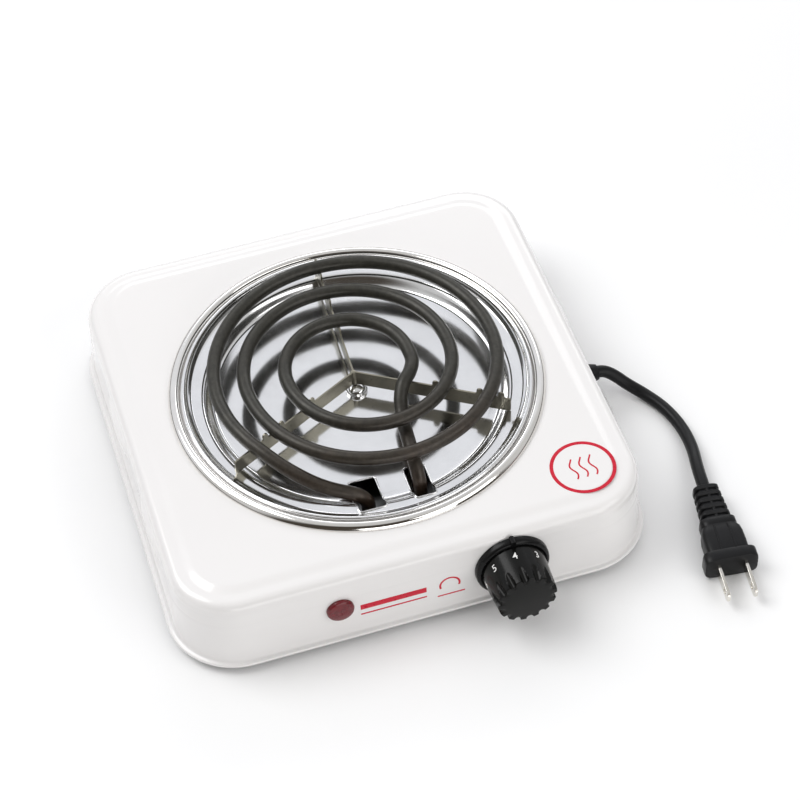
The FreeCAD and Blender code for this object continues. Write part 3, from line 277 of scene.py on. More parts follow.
class Look:
    """A node material with a few short-hands."""

    def __init__(self, name, **values):
        self.material = bpy.data.materials.new(name)
        self.material.use_nodes = True
        self.tree = self.material.node_tree
        self.shader = self.tree.nodes["Principled BSDF"]
        for key, value in values.items():
            self.shader.inputs[key.replace("_", " ")].default_value = value
        self.place = self.add("ShaderNodeTexCoord").outputs["Object"]

    def add(self, kind, **settings):
        made = self.tree.nodes.new(kind)
        for key, value in settings.items():
            setattr(made, key, value)
        return made

    def link(self, start, end):
        self.tree.links.new(start, end)

    def noise(self, scale, detail=3.0, stretch=(1, 1, 1), roughness=0.5):
        mapping = self.add("ShaderNodeMapping")
        mapping.inputs["Scale"].default_value = stretch
        self.link(self.place, mapping.inputs["Vector"])
        texture = self.add("ShaderNodeTexNoise")
        texture.inputs["Scale"].default_value = scale
        texture.inputs["Detail"].default_value = detail
        texture.inputs["Roughness"].default_value = roughness
        self.link(mapping.outputs["Vector"], texture.inputs["Vector"])
        return texture.outputs["Fac"]

    def ramp(self, factor, stops):
        """Colours by factor: stops are (place, colour)."""
        node = self.add("ShaderNodeValToRGB")
        elements = node.color_ramp.elements
        while len(elements) < len(stops):
            elements.new(0.5)
        for element, (place, colour) in zip(elements, stops):
            element.position = place
            element.color = (*colour, 1) if len(colour) == 3 else (colour[0], colour[0], colour[0], 1)
        self.link(factor, node.inputs["Fac"])
        return node.outputs["Color"]

    def spread(self, factor, low, high):
        """A number between low and high as the factor goes from 0.3 to 0.7."""
        node = self.add("ShaderNodeMapRange")
        node.inputs["From Min"].default_value = 0.3
        node.inputs["From Max"].default_value = 0.7
        node.inputs["To Min"].default_value = low
        node.inputs["To Max"].default_value = high
        self.link(factor, node.inputs["Value"])
        return node.outputs["Result"]

    def mix(self, factor, one, two):
        node = self.add("ShaderNodeMix", data_type="RGBA")
        for socket, value in ((node.inputs[0], factor), (node.inputs[6], one), (node.inputs[7], two)):
            if isinstance(value, tuple):
                socket.default_value = (*value, 1)
            elif isinstance(value, float):
                socket.default_value = value
            else:
                self.link(value, socket)
        return node.outputs[2]

    def colour(self, source):
        self.link(source, self.shader.inputs["Base Color"])

    def roughness(self, source):
        self.link(source, self.shader.inputs["Roughness"])

    def bump(self, source, height, strength=1.0):
        """Relief of a height in millimetres from a factor of 0 to 1."""
        node = self.add("ShaderNodeBump")
        node.inputs["Distance"].default_value = mm(height)
        node.inputs["Strength"].default_value = strength
        self.link(source, node.inputs["Height"])
        self.link(node.outputs["Normal"], self.shader.inputs["Normal"])


def enamel():
    look = Look("enamel", Coat_Weight=0.6, Coat_Roughness=0.05, Specular_IOR_Level=0.5)
    cloud = look.noise(9, 3)
    look.colour(look.ramp(cloud, [(0.2, (0.800, 0.782, 0.775)), (0.8, (0.822, 0.808, 0.798))]))
    look.roughness(look.spread(look.noise(30, 1), 0.22, 0.26))
    look.bump(look.noise(180, 1), 0.008, 0.3)
    return look.material


def bright_metal(name, tone, rough, ripple):
    """Polished plate: faint smears in the polish, and a slight waviness from the press."""
    look = Look(name, Metallic=1.0)
    smear = look.noise(45, 5, (1, 1, 1), 0.65)
    dark = tuple(part * 0.9 for part in tone)
    look.colour(look.ramp(smear, [(0.3, dark), (0.7, tone)]))
    look.roughness(look.spread(look.noise(60, 3), rough * 0.8, rough * 1.25))
    look.bump(look.noise(34, 1), ripple, 0.4)
    return look.material


def rolled_steel(name, tone, rough):
    look = Look(name, Metallic=1.0)
    grain = look.noise(900, 2, (0.06, 1, 1))
    patch = look.noise(70, 4)
    look.colour(look.mix(look.spread(patch, 0.0, 1.0), tuple(part * 0.72 for part in tone), tone))
    look.roughness(look.spread(grain, rough * 0.8, rough * 1.3))
    look.bump(grain, 0.02, 0.3)
    return look.material


def coil_sheath():
    """Dark oxide over a metal sheath, browned by heat towards the cold legs at the front."""
    look = Look("coil_sheath", Metallic=0.35, Specular_IOR_Level=0.5)
    fine = look.noise(420, 5, (1, 1, 1), 0.7)
    wide = look.noise(38, 3)
    oxide = look.ramp(fine, [(0.25, (0.018, 0.0175, 0.014)), (0.75, (0.046, 0.043, 0.034))])
    tint = look.ramp(fine, [(0.25, (0.030, 0.019, 0.013)), (0.75, (0.072, 0.045, 0.030))])
    split = look.add("ShaderNodeSeparateXYZ")
    look.link(look.place, split.inputs["Vector"])
    towards = look.add("ShaderNodeMapRange")
    towards.inputs["From Min"].default_value = BURNER.y + mm(-20)
    towards.inputs["From Max"].default_value = BURNER.y + mm(-66)
    look.link(split.outputs["Y"], towards.inputs["Value"])
    low = look.add("ShaderNodeMapRange")
    low.inputs["From Min"].default_value = mm(COIL_Z - 5)
    low.inputs["From Max"].default_value = mm(COIL_Z - 16)
    look.link(split.outputs["Z"], low.inputs["Value"])
    both = look.add("ShaderNodeMath", operation="MULTIPLY")
    look.link(towards.outputs["Result"], both.inputs[0])
    look.link(wide, both.inputs[1])
    most = look.add("ShaderNodeMath", operation="MAXIMUM")
    look.link(both.outputs["Value"], most.inputs[0])
    look.link(low.outputs["Result"], most.inputs[1])
    look.colour(look.mix(most.outputs["Value"], oxide, tint))
    look.roughness(look.spread(look.noise(150, 4), 0.30, 0.46))
    look.bump(fine, 0.06, 0.5)
    return look.material


def moulded(name, tone, rough, grain_height, grain_scale=700, coat=0.0, shine=0.2):
    look = Look(name, Coat_Weight=coat, Coat_Roughness=0.08, Specular_IOR_Level=shine)
    dust = look.noise(55, 4)
    lighter = tuple(part * 1.5 + 0.002 for part in tone)
    look.colour(look.ramp(dust, [(0.35, tone), (0.75, lighter)]))
    look.roughness(look.spread(look.noise(210, 3), rough * 0.85, rough * 1.2))
    look.bump(look.noise(grain_scale, 2), grain_height, 0.5)
    return look.material


def lens_plastic():
    look = Look("lens_plastic", Transmission_Weight=0.35, IOR=1.49, Coat_Weight=0.1, Coat_Roughness=0.04)
    look.colour(look.ramp(look.noise(300, 3), [(0.3, (0.15, 0.003, 0.008)), (0.7, (0.24, 0.005, 0.014))]))
    look.roughness(look.spread(look.noise(260, 2), 0.06, 0.14))
    look.bump(look.noise(500, 1), 0.02, 0.3)
    return look.material


def lamp_glass():
    look = Look("lamp_glass", Transmission_Weight=0.9, IOR=1.46)
    look.colour(look.ramp(look.noise(200, 2), [(0.3, (0.95, 0.78, 0.66)), (0.7, (1.0, 0.86, 0.76))]))
    look.roughness(look.spread(look.noise(300, 2), 0.03, 0.08))
    return look.material


def print_ink(name, tone):
    look = Look(name, Specular_IOR_Level=0.2, Coat_Weight=0.1, Coat_Roughness=0.1)
    patch = look.noise(400, 3)
    look.colour(look.ramp(patch, [(0.3, tuple(part * 0.9 for part in tone)), (0.7, tone)]))
    look.roughness(look.spread(patch, 0.25, 0.35))
    return look.material


def fired_clay():
    look = Look("fired_clay", Specular_IOR_Level=0.4)
    look.colour(look.ramp(look.noise(90, 4), [(0.3, (0.74, 0.71, 0.66)), (0.7, (0.84, 0.82, 0.78))]))
    look.roughness(look.spread(look.noise(300, 3), 0.55, 0.75))
    look.bump(look.noise(600, 3), 0.04, 0.6)
    return look.material


def woven_sleeve():
    look = Look("woven_sleeve")
    weave = look.add("ShaderNodeTexWave")
    weave.inputs["Scale"].default_value = 420
    weave.inputs["Distortion"].default_value = 1.5
    look.link(look.place, weave.inputs["Vector"])
    look.colour(look.ramp(weave.outputs["Fac"], [(0.2, (0.62, 0.58, 0.50)), (0.8, (0.86, 0.83, 0.76))]))
    look.shader.inputs["Roughness"].default_value = 0.8
    look.bump(weave.outputs["Fac"], 0.08)
    return look.material


LOOKS = {
    "enamel": enamel(),
    "zinc_plate": rolled_steel("zinc_plate", (0.62, 0.63, 0.64), 0.34),
    "rubber_foot": moulded("rubber_foot", (0.020, 0.020, 0.020), 0.62, 0.05),
    "plated_screw": rolled_steel("plated_screw", (0.70, 0.69, 0.66), 0.26),
    "bright_ring": bright_metal("bright_ring", (0.90, 0.88, 0.85), 0.09, 0.03),
    "bowl_bright": bright_metal("bowl_bright", (0.90, 0.90, 0.90), 0.12, 0.06),
    "coil_sheath": coil_sheath(),
    "support_steel": rolled_steel("support_steel", (0.27, 0.255, 0.205), 0.34),
    "knob_black": moulded("knob_black", (0.0030, 0.0030, 0.0025), 0.19, 0.008, 500, 0.04, 0.16),
    "bezel_black": moulded("bezel_black", (0.0030, 0.0030, 0.0030), 0.24, 0.008, 500, 0.02, 0.16),
    "lens_red": lens_plastic(),
    "lamp_glass": lamp_glass(),
    "cord_black": moulded("cord_black", (0.005, 0.005, 0.0055), 0.34, 0.03),
    "plug_black": moulded("plug_black", (0.005, 0.005, 0.0055), 0.33, 0.03),
    "blade_nickel": rolled_steel("blade_nickel", (0.86, 0.83, 0.77), 0.16),
    "switch_steel": rolled_steel("switch_steel", (0.56, 0.56, 0.55), 0.32),
    "switch_brass": rolled_steel("switch_brass", (0.74, 0.56, 0.26), 0.28),
    "insulator_white": fired_clay(),
    "wire_sleeve": woven_sleeve(),
}
WHITE_INK = print_ink("white_ink", (0.86, 0.86, 0.84))
RED_INK = print_ink("red_ink", (0.60, 0.012, 0.035))

for subpart in frame["record"]["subparts"]:
    cad_mesh = NODES[subpart["node"]].data
    cad_mesh.materials.clear()
    cad_mesh.materials.append(LOOKS[subpart["material_slot"]])


def dress(piece, slot, body, *stands_for, material=None):
    return finish_piece(piece, material or LOOKS[slot], slot, body, *stands_for)


# ---- body pressing --------------------------------------------------------------------------------

SIDE_STEPS = 56
CORNER_STEPS = 20
HOODS = ((20.0, 38.0), (-44.0, 38.0))
HOOD_LOW, HOOD_HIGH, HOOD_BULGE = TOP_Z - 12.6, TOP_Z - 4.6, 2.0


def rounded_loop(offset, z):
    """The pressing's outline in plan, moved outwards by an offset, anticlockwise from the front."""
    half_x, half_y = BODY_WIDTH / 2 + offset, BODY_DEPTH / 2 + offset
    radius = CORNER + offset
    points = []
    corners = ((1, -1, -90), (1, 1, 0), (-1, 1, 90), (-1, -1, 180))
    for sx, sy, start in corners:
        cx, cy = sx * (half_x - radius), sy * (half_y - radius)
        turn = [(cx + radius * math.cos(math.radians(start + 90 * k / CORNER_STEPS)),
                 cy + radius * math.sin(math.radians(start + 90 * k / CORNER_STEPS)))
                for k in range(CORNER_STEPS + 1)]
        points += turn
        end_x, end_y = turn[-1]
        if start in (0, 180):
            last_x, last_y = -end_x, end_y
        else:
            last_x, last_y = end_x, -end_y
        points += [(end_x + (last_x - end_x) * k / SIDE_STEPS, end_y + (last_y - end_y) * k / SIDE_STEPS)
                   for k in range(1, SIDE_STEPS)]
    return [(x, y + SHIFT * 1000, z) for x, y in points]


def round_loop(radius, z, like):
    """A circle round the burner, whose points lie towards those of another loop."""
    cx, cy = BURNER.x * 1000, BURNER.y * 1000
    loop = []
    for x, y, _ in like:
        angle = math.atan2(y - cy, x - cx)
        loop.append((cx + radius * math.cos(angle), cy + radius * math.sin(angle), z))
    return loop


def ease(share):
    return share * share * (3 - 2 * share)


def hooded(loop):
    """Push the side walls out where their louvre hoods are."""
    pushed = []
    for x, y, z in loop:
        push = 0.0
        if abs(x) > BODY_WIDTH / 2 - 2 and HOOD_LOW <= z <= HOOD_HIGH:
            for centre, length in HOODS:
                share = abs(y - SHIFT * 1000 - centre) / (length / 2)
                if share < 1:
                    rise = ease(min(1.0, (HOOD_HIGH - z) / (HOOD_HIGH - HOOD_LOW) * 1.5))
                    push = HOOD_BULGE * (1 - share ** 2.4) * rise
        pushed.append((x + math.copysign(push, x), y, z))
    return pushed


def wall_offset(z):
    return (TOP_Z - z) * LEAN


def body_shell():
    reference = rounded_loop(-13, 0)
    panel = PANEL_Z * 1000
    loops = [round_loop(HOLE_RADIUS, panel - SHEET, reference), round_loop(HOLE_RADIUS, panel, reference)]
    loops += [round_loop(radius, panel, reference) for radius in (HOLE_RADIUS + 0.6, 86, 91)]
    loops += [rounded_loop(-inset, panel) for inset in (14.5, 13.6)]
    for step in range(1, 13):
        share = step / 12
        loops.append(rounded_loop(-13.2 + 6.4 * share, panel - ease(share)))
    edge = 5.0
    for step in range(0, 11):
        angle = math.radians(step * 8.76)
        loops.append(rounded_loop(-edge + edge * math.sin(angle), TOP_Z - edge + edge * math.cos(angle)))
    z = TOP_Z - edge
    while z > HOOD_LOW + 0.3:
        z -= 0.8
        loops.append(hooded(rounded_loop(wall_offset(z), max(z, HOOD_LOW))))
    loops.append(rounded_loop(wall_offset(HOOD_LOW), HOOD_LOW - 0.25))
    flange = wall_offset(HEM_Z) + 2.3
    for z in (28, 24, 20, 16, 12, 9, 7.6):
        loops.append(rounded_loop(wall_offset(z), z))
    wall = wall_offset(6.6)
    loops += [rounded_loop(wall + 0.15, 6.7), rounded_loop(wall + 0.5, 6.2), rounded_loop(wall + 1.0, 6.0)]
    loops += [rounded_loop(flange - 1 + out, HEM_Z + 1 + up) for out, up in arc((0, 0), 1.0, 80, -90, 8)]
    inner = -SHEET
    loops.append(rounded_loop(wall_offset(HEM_Z) + inner + 0.6, HEM_Z))
    loops += [rounded_loop(wall_offset(z) + inner, z) for z in (HEM_Z + 0.6, 12, 24, 36)]
    loops += [rounded_loop(-edge + (edge - SHEET) * math.sin(math.radians(angle)),
                           TOP_Z - edge + (edge - SHEET) * math.cos(math.radians(angle)))
              for angle in (80, 60, 40, 20, 0)]
    for step in (0, 4, 8, 12):
        share = 1 - step / 12
        loops.append(rounded_loop(-13.2 + 6.4 * share, panel - SHEET - ease(share)))
    shell = stacked("body_pressing", loops, closed=True)
    cutters = []
    for side in (-1, 1):
        for number, (centre, length) in enumerate(HOODS):
            x = side * (BODY_WIDTH / 2 + wall_offset(HOOD_LOW))
            lens = []
            for k in range(13):
                y = (k / 6 - 1) * (length / 2 - 2.4)
                reach = (HOOD_BULGE - 0.7) * (1 - (abs(k / 6 - 1)) ** 2.4)
                lens.append((x + side * reach, y + centre + SHIFT * 1000))
            lens += [(x - side * 4, y) for _, y in lens[::-1]]
            cutter = prism(f"mouth_{number}_{side + 1}", lens, 5.0)
            move(cutter, Matrix.Translation((0, 0, mm(HOOD_LOW - 1.2))))
            cutters.append(cutter)
    cut_away(shell, cutters)
    for polygon in shell.data.polygons:
        polygon.use_smooth = True
    shell.data.set_sharp_from_angle(angle=math.radians(38))
    return dress(shell, "enamel", "base", "body_shell")


# ---- ring and bowl --------------------------------------------------------------------------------

RING_OUTER = (RING_HIGH.x - RING_LOW.x) / 2 * 1000
RING_CROWN = (RING_HIGH.z - RING_LOW.z) * 1000
BURNER_MM = (BURNER.x * 1000, BURNER.y * 1000)


def trim_ring():
    panel = PANEL_Z * 1000
    outer, crown, inner = RING_OUTER, RING_CROWN, 83.4
    top = [(outer, panel), (outer, panel + 0.5), (outer - 0.15, panel + 0.9), (outer - 0.6, panel + 1.6),
           (outer - 1.3, panel + 2.3), (outer - 2.1, panel + crown - 0.15), (outer - 3.0, panel + crown),
           (outer - 3.8, panel + crown - 0.15), (outer - 4.5, panel + 2.3), (outer - 5.1, panel + 1.5),
           (inner + 0.15, panel + 0.8), (inner, panel + 0.2)]
    under = [(inner + 0.7, panel + 0.2), (inner + 0.9, panel + 0.9), (outer - 4.4, panel + 1.6),
             (outer - 3.0, panel + crown - 0.75), (outer - 1.7, panel + 1.6), (outer - 0.8, panel + 0.6),
             (outer - 0.7, panel)]
    ring = lathe("bright_trim_ring", top + under, 384, centre=BURNER_MM)
    return dress(ring, "bright_ring", "base", "trim_ring")


BOWL_FLAT, BOWL_SLOPE = 66.8, 6.8
RIM_START, RIM_SLOPE, RIM_RISE = 77.6, 3.2, 1.6
BOWL_SHEET = 0.6
WINDOWS = ((-1, 13.0), (1, 10.0))
BRIDGE, BRIDGE_LEFT = 13.6, 0.8
WINDOW_FRONT, WINDOW_LENGTH, WINDOW_CORNER = 74.4, 21.5, 1.6
LIP_RADIUS, LIP_LIFT, LIP_STEP = 0.45, 0.1, 1.5


def bowl_height(radius):
    """Height of the bowl's upper face at a radius from its centre."""
    if radius < BOWL_FLAT:
        return FLOOR_Z
    if radius < BOWL_FLAT + BOWL_SLOPE:
        return FLOOR_Z + ease((radius - BOWL_FLAT) / BOWL_SLOPE) * (LEDGE_Z - FLOOR_Z)
    if radius < RIM_START:
        return LEDGE_Z
    return LEDGE_Z + ease(min(1.0, (radius - RIM_START) / RIM_SLOPE)) * RIM_RISE


def window_outline(side, width, grow=0.0):
    """A window in the bowl, with rounded corners, anticlockwise."""
    centre_x = BURNER.x * 1000 - BRIDGE_LEFT + side * (BRIDGE + width) / 2
    centre_y = BURNER.y * 1000 - WINDOW_FRONT + WINDOW_LENGTH / 2
    half_x, half_y, radius = width / 2 + grow, WINDOW_LENGTH / 2 + grow, WINDOW_CORNER
    points = []
    for sx, sy, start in ((1, -1, -90), (1, 1, 0), (-1, 1, 90), (-1, -1, 180)):
        corner = (centre_x + sx * (half_x - radius), centre_y + sy * (half_y - radius))
        points += arc(corner, radius, start, start + 90, 5)
    return points


def drip_bowl():
    panel = PANEL_Z * 1000
    radii = [2.5, 12, 24, 36, 46, 54, 60, 64, BOWL_FLAT]
    radii += [BOWL_FLAT + BOWL_SLOPE * k / 8 for k in range(1, 9)]
    radii += [75, 76.4, RIM_START, 78.2, 78.8, 79.4, 80.0]
    top = [(radius, bowl_height(radius)) for radius in radii]
    bead = arc((81.9, panel + 1.1), 1.1, 165, -90, 12)
    under = [(81.2, panel)]
    under += [(radius + 0.15, height - BOWL_SHEET) for radius, height in top[::-1] if radius < 79]
    bowl = lathe("polished_drip_bowl", top + bead + under, 384, centre=BURNER_MM)
    cutters = []
    for side, width in WINDOWS:
        cutter = prism(f"window_{side + 1}", window_outline(side, width), 20)
        move(cutter, Matrix.Translation((0, 0, mm(FLOOR_Z - 8))))
        cutters.append(cutter)
    cut_away(bowl, cutters)
    dress(bowl, "bowl_bright", "base", "drip_bowl")
    for side, width in WINDOWS:
        line = []
        for x, y in window_outline(side, width, 0.15):
            radius = math.hypot(x - BURNER_MM[0], y - BURNER_MM[1])
            line.append(Vector((x, y, bowl_height(radius) + LIP_LIFT)) * 0.001)
        dense = []
        for one, two in zip(line, line[1:] + line[:1]):
            steps = max(1, int((two - one).length / (LIP_STEP / 1000)))
            for k in range(steps):
                spot = one.lerp(two, k / steps)
                radius = math.hypot(spot.x * 1000 - BURNER_MM[0], spot.y * 1000 - BURNER_MM[1])
                dense.append(Vector((spot.x, spot.y, mm(bowl_height(radius) + LIP_LIFT))))
        lip = tube(f"window_lip_{'left' if side < 0 else 'right'}", dense, mm(LIP_RADIUS), 12, closed=True)
        dress(lip, "bowl_bright", "base")
    return bowl


def dome_nut():
    low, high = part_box("dome_nut")
    centre = ((low.x + high.x) * 500, (low.y + high.y) * 500)
    base, tall, radius = low.z * 1000, (high.z - low.z) * 1000, (high.x - low.x) * 500
    profile = [(0.4, base), (radius - 0.3, base), (radius, base + 0.3), (radius, base + 0.9),
               (radius - 0.35, base + 1.3)]
    profile += [(radius - 0.35 - (radius - 0.35) * (1 - math.cos(math.radians(a))),
                 base + 1.3 + (tall - 1.3) * math.sin(math.radians(a))) for a in range(10, 90, 8)]
    profile.append((0.3, base + tall))
    nut = lathe("domed_nut", profile, 64, closed=False, centre=centre)
    return dress(nut, "bowl_bright", "base", "dome_nut")


# ---- coil and support -----------------------------------------------------------------------------

COIL_EYE, COIL_STEP, COIL_TUCK, COIL_LEFT, COIL_BACK, COIL_START = 29.7, 9.7, 1.8, 2.0, 1.2, 206.0
SUPPORT_X, SUPPORT_Y = BURNER.x * 1000 - 0.8, BURNER.y * 1000 + 1.2


def coil_turns():
    """Half turns from the outer end to the eye, each (centre, radius, first and last angle)."""
    radii = [COIL_EYE + half * COIL_STEP for half in range(5)]
    radii[3] += COIL_TUCK / 2
    radii[4] -= COIL_TUCK
    turns = []
    side = radii[0] - COIL_LEFT
    for half, radius in enumerate(radii):
        back = half % 2 == 0
        x = side - radius if back else side + radius
        turns.append([Vector((x, COIL_BACK, 0)), radius, *((180, 0) if back else (0, -180))])
        side = x - radius if back else x + radius
    turns[-1][2] = COIL_START
    return turns[::-1]


def at_angle(centre, radius, degrees, drop=0.0):
    angle = math.radians(degrees)
    return centre + Vector((radius * math.cos(angle), radius * math.sin(angle), -drop))


LEFT_LEG, RIGHT_LEG, LEG_FRONT = -12.4 - 0.6, 12.5 - 0.6, -65.2


def coil_path():
    turns = coil_turns()
    centre, radius, first, _ = turns[0]
    left_x, right_x, leg_y = LEFT_LEG, RIGHT_LEG, LEG_FRONT
    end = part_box("heating_coil")[0].z * 1000 - COIL_Z
    points = [Vector((left_x, leg_y, end)), Vector((left_x, leg_y, -24)),
              Vector((left_x - 0.4, leg_y + 0.1, -19)), Vector((left_x - 3.2, leg_y + 0.9, -14.4))]
    for wider, turn, drop in ((1.1, 37, 9.6), (0.9, 30, 7.2), (0.5, 21, 4.0), (0.2, 13, 1.6), (0.0, 6, 0.3)):
        points.append(at_angle(centre, radius + wider, first + turn, drop))
    for centre, radius, start, stop in turns:
        steps = max(2, round((start - stop) / 12))
        points += [at_angle(centre, radius, start + (stop - start) * k / steps) for k in range(steps)]
    centre, radius, _, _ = turns[-1]
    eye_end = centre + Vector((radius, 0, 0))
    points += [eye_end, eye_end + Vector((-0.4, -6.6, 0)), eye_end + Vector((-3.6, -13, 0.1)),
               eye_end + Vector((-8.4, -18.4, -0.5)), eye_end + Vector((-11.4, -23.8, -3.2)),
               Vector((right_x + 2.9, -28.4, -6.4)), Vector((right_x + 2.0, -34.0, -8.1)),
               Vector((right_x + 1.1, -44, -8.4)), Vector((right_x + 0.4, -53, -8.9)),
               Vector((right_x + 0.1, -59.2, -10.9)), Vector((right_x, leg_y + 1.2, -15.2)),
               Vector((right_x, leg_y, -20)), Vector((right_x, leg_y, end))]
    base = Vector((SUPPORT_X, SUPPORT_Y, COIL_Z))
    return smooth_path([(point + base) * 0.001 for point in points], 7)


def heating_coil():
    coil = tube("coil_element", coil_path(), mm(COIL_TUBE / 2), 36)
    return dress(coil, "coil_sheath", "base", "heating_coil")


def arm_crossings(degrees):
    """Distances from the support's centre at which an arm at this angle passes under the tube."""
    heading = at_angle(Vector(), 1, degrees)
    found = []
    for centre, radius, start, end in coil_turns():
        along = centre.dot(heading)
        reach = along + math.sqrt(radius ** 2 - centre.length ** 2 + along ** 2)
        spot = heading * reach - centre
        if (start - math.degrees(math.atan2(spot.y, spot.x))) % 360 <= start - end:
            found.append(reach)
    return sorted(found)


def coil_support():
    length, tall, thick = 75.8, 8.2, 0.9
    width, rise, gap = 3.0, 3.4, 0.3
    for arm in range(3):
        degrees = 90 - 2.2 + arm * 120
        carried = arm_crossings(degrees)
        nubs = [reach - COIL_TUBE / 2 - gap - width for reach in carried]
        nubs.append(carried[-1] + COIL_TUBE / 2 + gap)
        outline = [(0, 0), (length - 1.2, 0), (length, 0.8), (length, tall - 0.5), (length - 0.5, tall)]
        for start in sorted(nubs, reverse=True):
            crown_x, crown_y = start + width / 2, tall + rise - width / 2
            outline += [(start + width + 0.5, tall), (start + width, tall + 0.5)]
            outline += [(crown_x + x, crown_y + y) for x, y in arc((0, 0), width / 2, 0, 180, 10)]
            outline += [(start, tall + 0.5), (start - 0.5, tall)]
        outline.append((0, tall))
        strip = prism(f"support_arm_{arm + 1}", outline, thick, 0.12, 2)
        upright = Matrix.Rotation(math.radians(90), 4, "X")
        spin = Matrix.Rotation(math.radians(degrees), 4, "Z")
        place = Matrix.Translation(Vector((SUPPORT_X, SUPPORT_Y, LEDGE_Z)) * 0.001)
        move(strip, place @ spin @ Matrix.Translation((0, mm(thick / 2), 0)) @ upright)
        if arm == 0:
            dress(strip, "support_steel", "base", "coil_support")
        else:
            dress(strip, "support_steel", "base")
    profile = [(0.3, LEDGE_Z + 0.4), (1.5, LEDGE_Z + 0.4), (1.7, LEDGE_Z + 1), (1.5, LEDGE_Z + 7.4),
               (0.9, LEDGE_Z + 8.2), (0.3, LEDGE_Z + 8.3)]
    weld = lathe("support_weld", profile, 24, closed=False, centre=(SUPPORT_X, SUPPORT_Y))
    dress(weld, "support_steel", "base")


# ---- control knob and pilot light -----------------------------------------------------------------

BEZEL_TALL, BEZEL_RADIUS = 3.7, 17.4
KNOB_GAP, KNOB_LENGTH, KNOB_DOME = 0.4, 19.3, 0.9
KNOB_BACK, KNOB_FRONT, KNOB_FACE = 15.0, 13.9, 12.0
FLUTE_START, FLUTE_RADIUS = 8.6, 1.75


def knob_bezel():
    profile = [(7.9, 0.02), (BEZEL_RADIUS, 0.02), (BEZEL_RADIUS, 1.8), (BEZEL_RADIUS - 0.15, 2.5),
               (BEZEL_RADIUS - 0.5, 3.1), (BEZEL_RADIUS - 1.0, 3.55), (BEZEL_RADIUS - 1.6, BEZEL_TALL),
               (BEZEL_RADIUS - 2.0, 3.45), (7.9, 3.3), (5.6, 3.3), (5.6, 2.6), (7.9, 2.6)]
    dish = lathe("bezel_dish", profile, 128)
    move(dish, wall_frame(KNOB_SPOT))
    dress(dish, "bezel_black", "base", "knob_bezel")
    outline = [(-1.3, 14.9), (1.3, 14.9), (1.15, 18.3), (0.7, 18.9), (-0.7, 18.9), (-1.15, 18.3)]
    nub = prism("bezel_pointer", outline, 4.3, 0.35, 3)
    move(nub, wall_frame(KNOB_SPOT))
    dress(nub, "bezel_black", "base")


def knob_radius(angle, z):
    """Radius of the knob's skin: a drafted skirt whose flutes deepen towards the face."""
    skirt = KNOB_BACK + (KNOB_FRONT - KNOB_BACK) * z / (KNOB_LENGTH - KNOB_DOME)
    if z < FLUTE_START - FLUTE_RADIUS:
        return skirt
    pitch = math.tau / FLUTES
    offset = ((angle - math.pi / 2 - KNOB_TURNED) / pitch + 0.5) % 1 - 0.5
    share = (z - FLUTE_START) / (KNOB_LENGTH - KNOB_DOME - FLUTE_START)
    centre = KNOB_BACK + FLUTE_RADIUS - 0.2 + (KNOB_FACE - KNOB_BACK + 0.2) * max(share, 0.0)
    cutter = FLUTE_RADIUS
    if share < 0:
        cutter = math.sqrt(max(0.0, FLUTE_RADIUS ** 2 - (FLUTE_START - z) ** 2))
    across = abs(centre * math.sin(offset * pitch))
    if across >= cutter:
        return skirt
    hollow = centre * math.cos(offset * pitch) - math.sqrt(cutter ** 2 - across ** 2)
    deep = skirt - hollow
    return skirt if deep <= 0 else skirt - deep * ease(min(1.0, deep / 0.25))


def skin_loop(z, level, shrink, count):
    """The knob's outline as it is at z, drawn in by shrink and put at a level."""
    loop = []
    for angle in (math.tau * k / count for k in range(count)):
        radius = knob_radius(angle, z) - shrink
        loop.append((radius * math.cos(angle), radius * math.sin(angle), level))
    return loop


def control_knob():
    count = FLUTES * 20
    dome = KNOB_DOME
    levels = [0.0, 0.3, 3.0, 6.0] + [6.4 + 0.3 * k for k in range(40)]
    levels = [level for level in levels if level < KNOB_LENGTH - dome - 0.5]
    loops = [circle(4.0, 0.9, count), circle(KNOB_BACK - 1.8, 0.9, count)]
    loops.append(circle(KNOB_BACK - 1.6, 0.0, count))
    loops += [skin_loop(z, z, 0.0, count) for z in levels]
    last = KNOB_LENGTH - dome - 0.4
    for shrink, lift in ((0.0, 0.0), (0.12, 0.22), (0.4, 0.36), (0.8, 0.42)):
        loops.append(skin_loop(last, last + lift, shrink, count))
    for radius in (11.2, 10.4, 9.0, 7.0, 5.0, 3.0, 1.0):
        height = KNOB_LENGTH - dome + dome * (1 - (radius / 12.6) ** 2)
        loops.append(circle(radius, height, count))
    knob = stacked("fluted_knob", loops, caps=True)
    base = wall_frame(KNOB_SPOT + AXIS * mm(BEZEL_TALL + KNOB_GAP))
    move(knob, base)
    dress(knob, "knob_black", "knob", "control_knob")
    digits(base)


INK_LIFT = 0.035
DIGIT_HEIGHT, DIGIT_LEVEL, DIGIT_PITCH = 3.6, 4.5, 43
FONT_PER_HEIGHT = 1.38
POINTED_DIGIT = 4


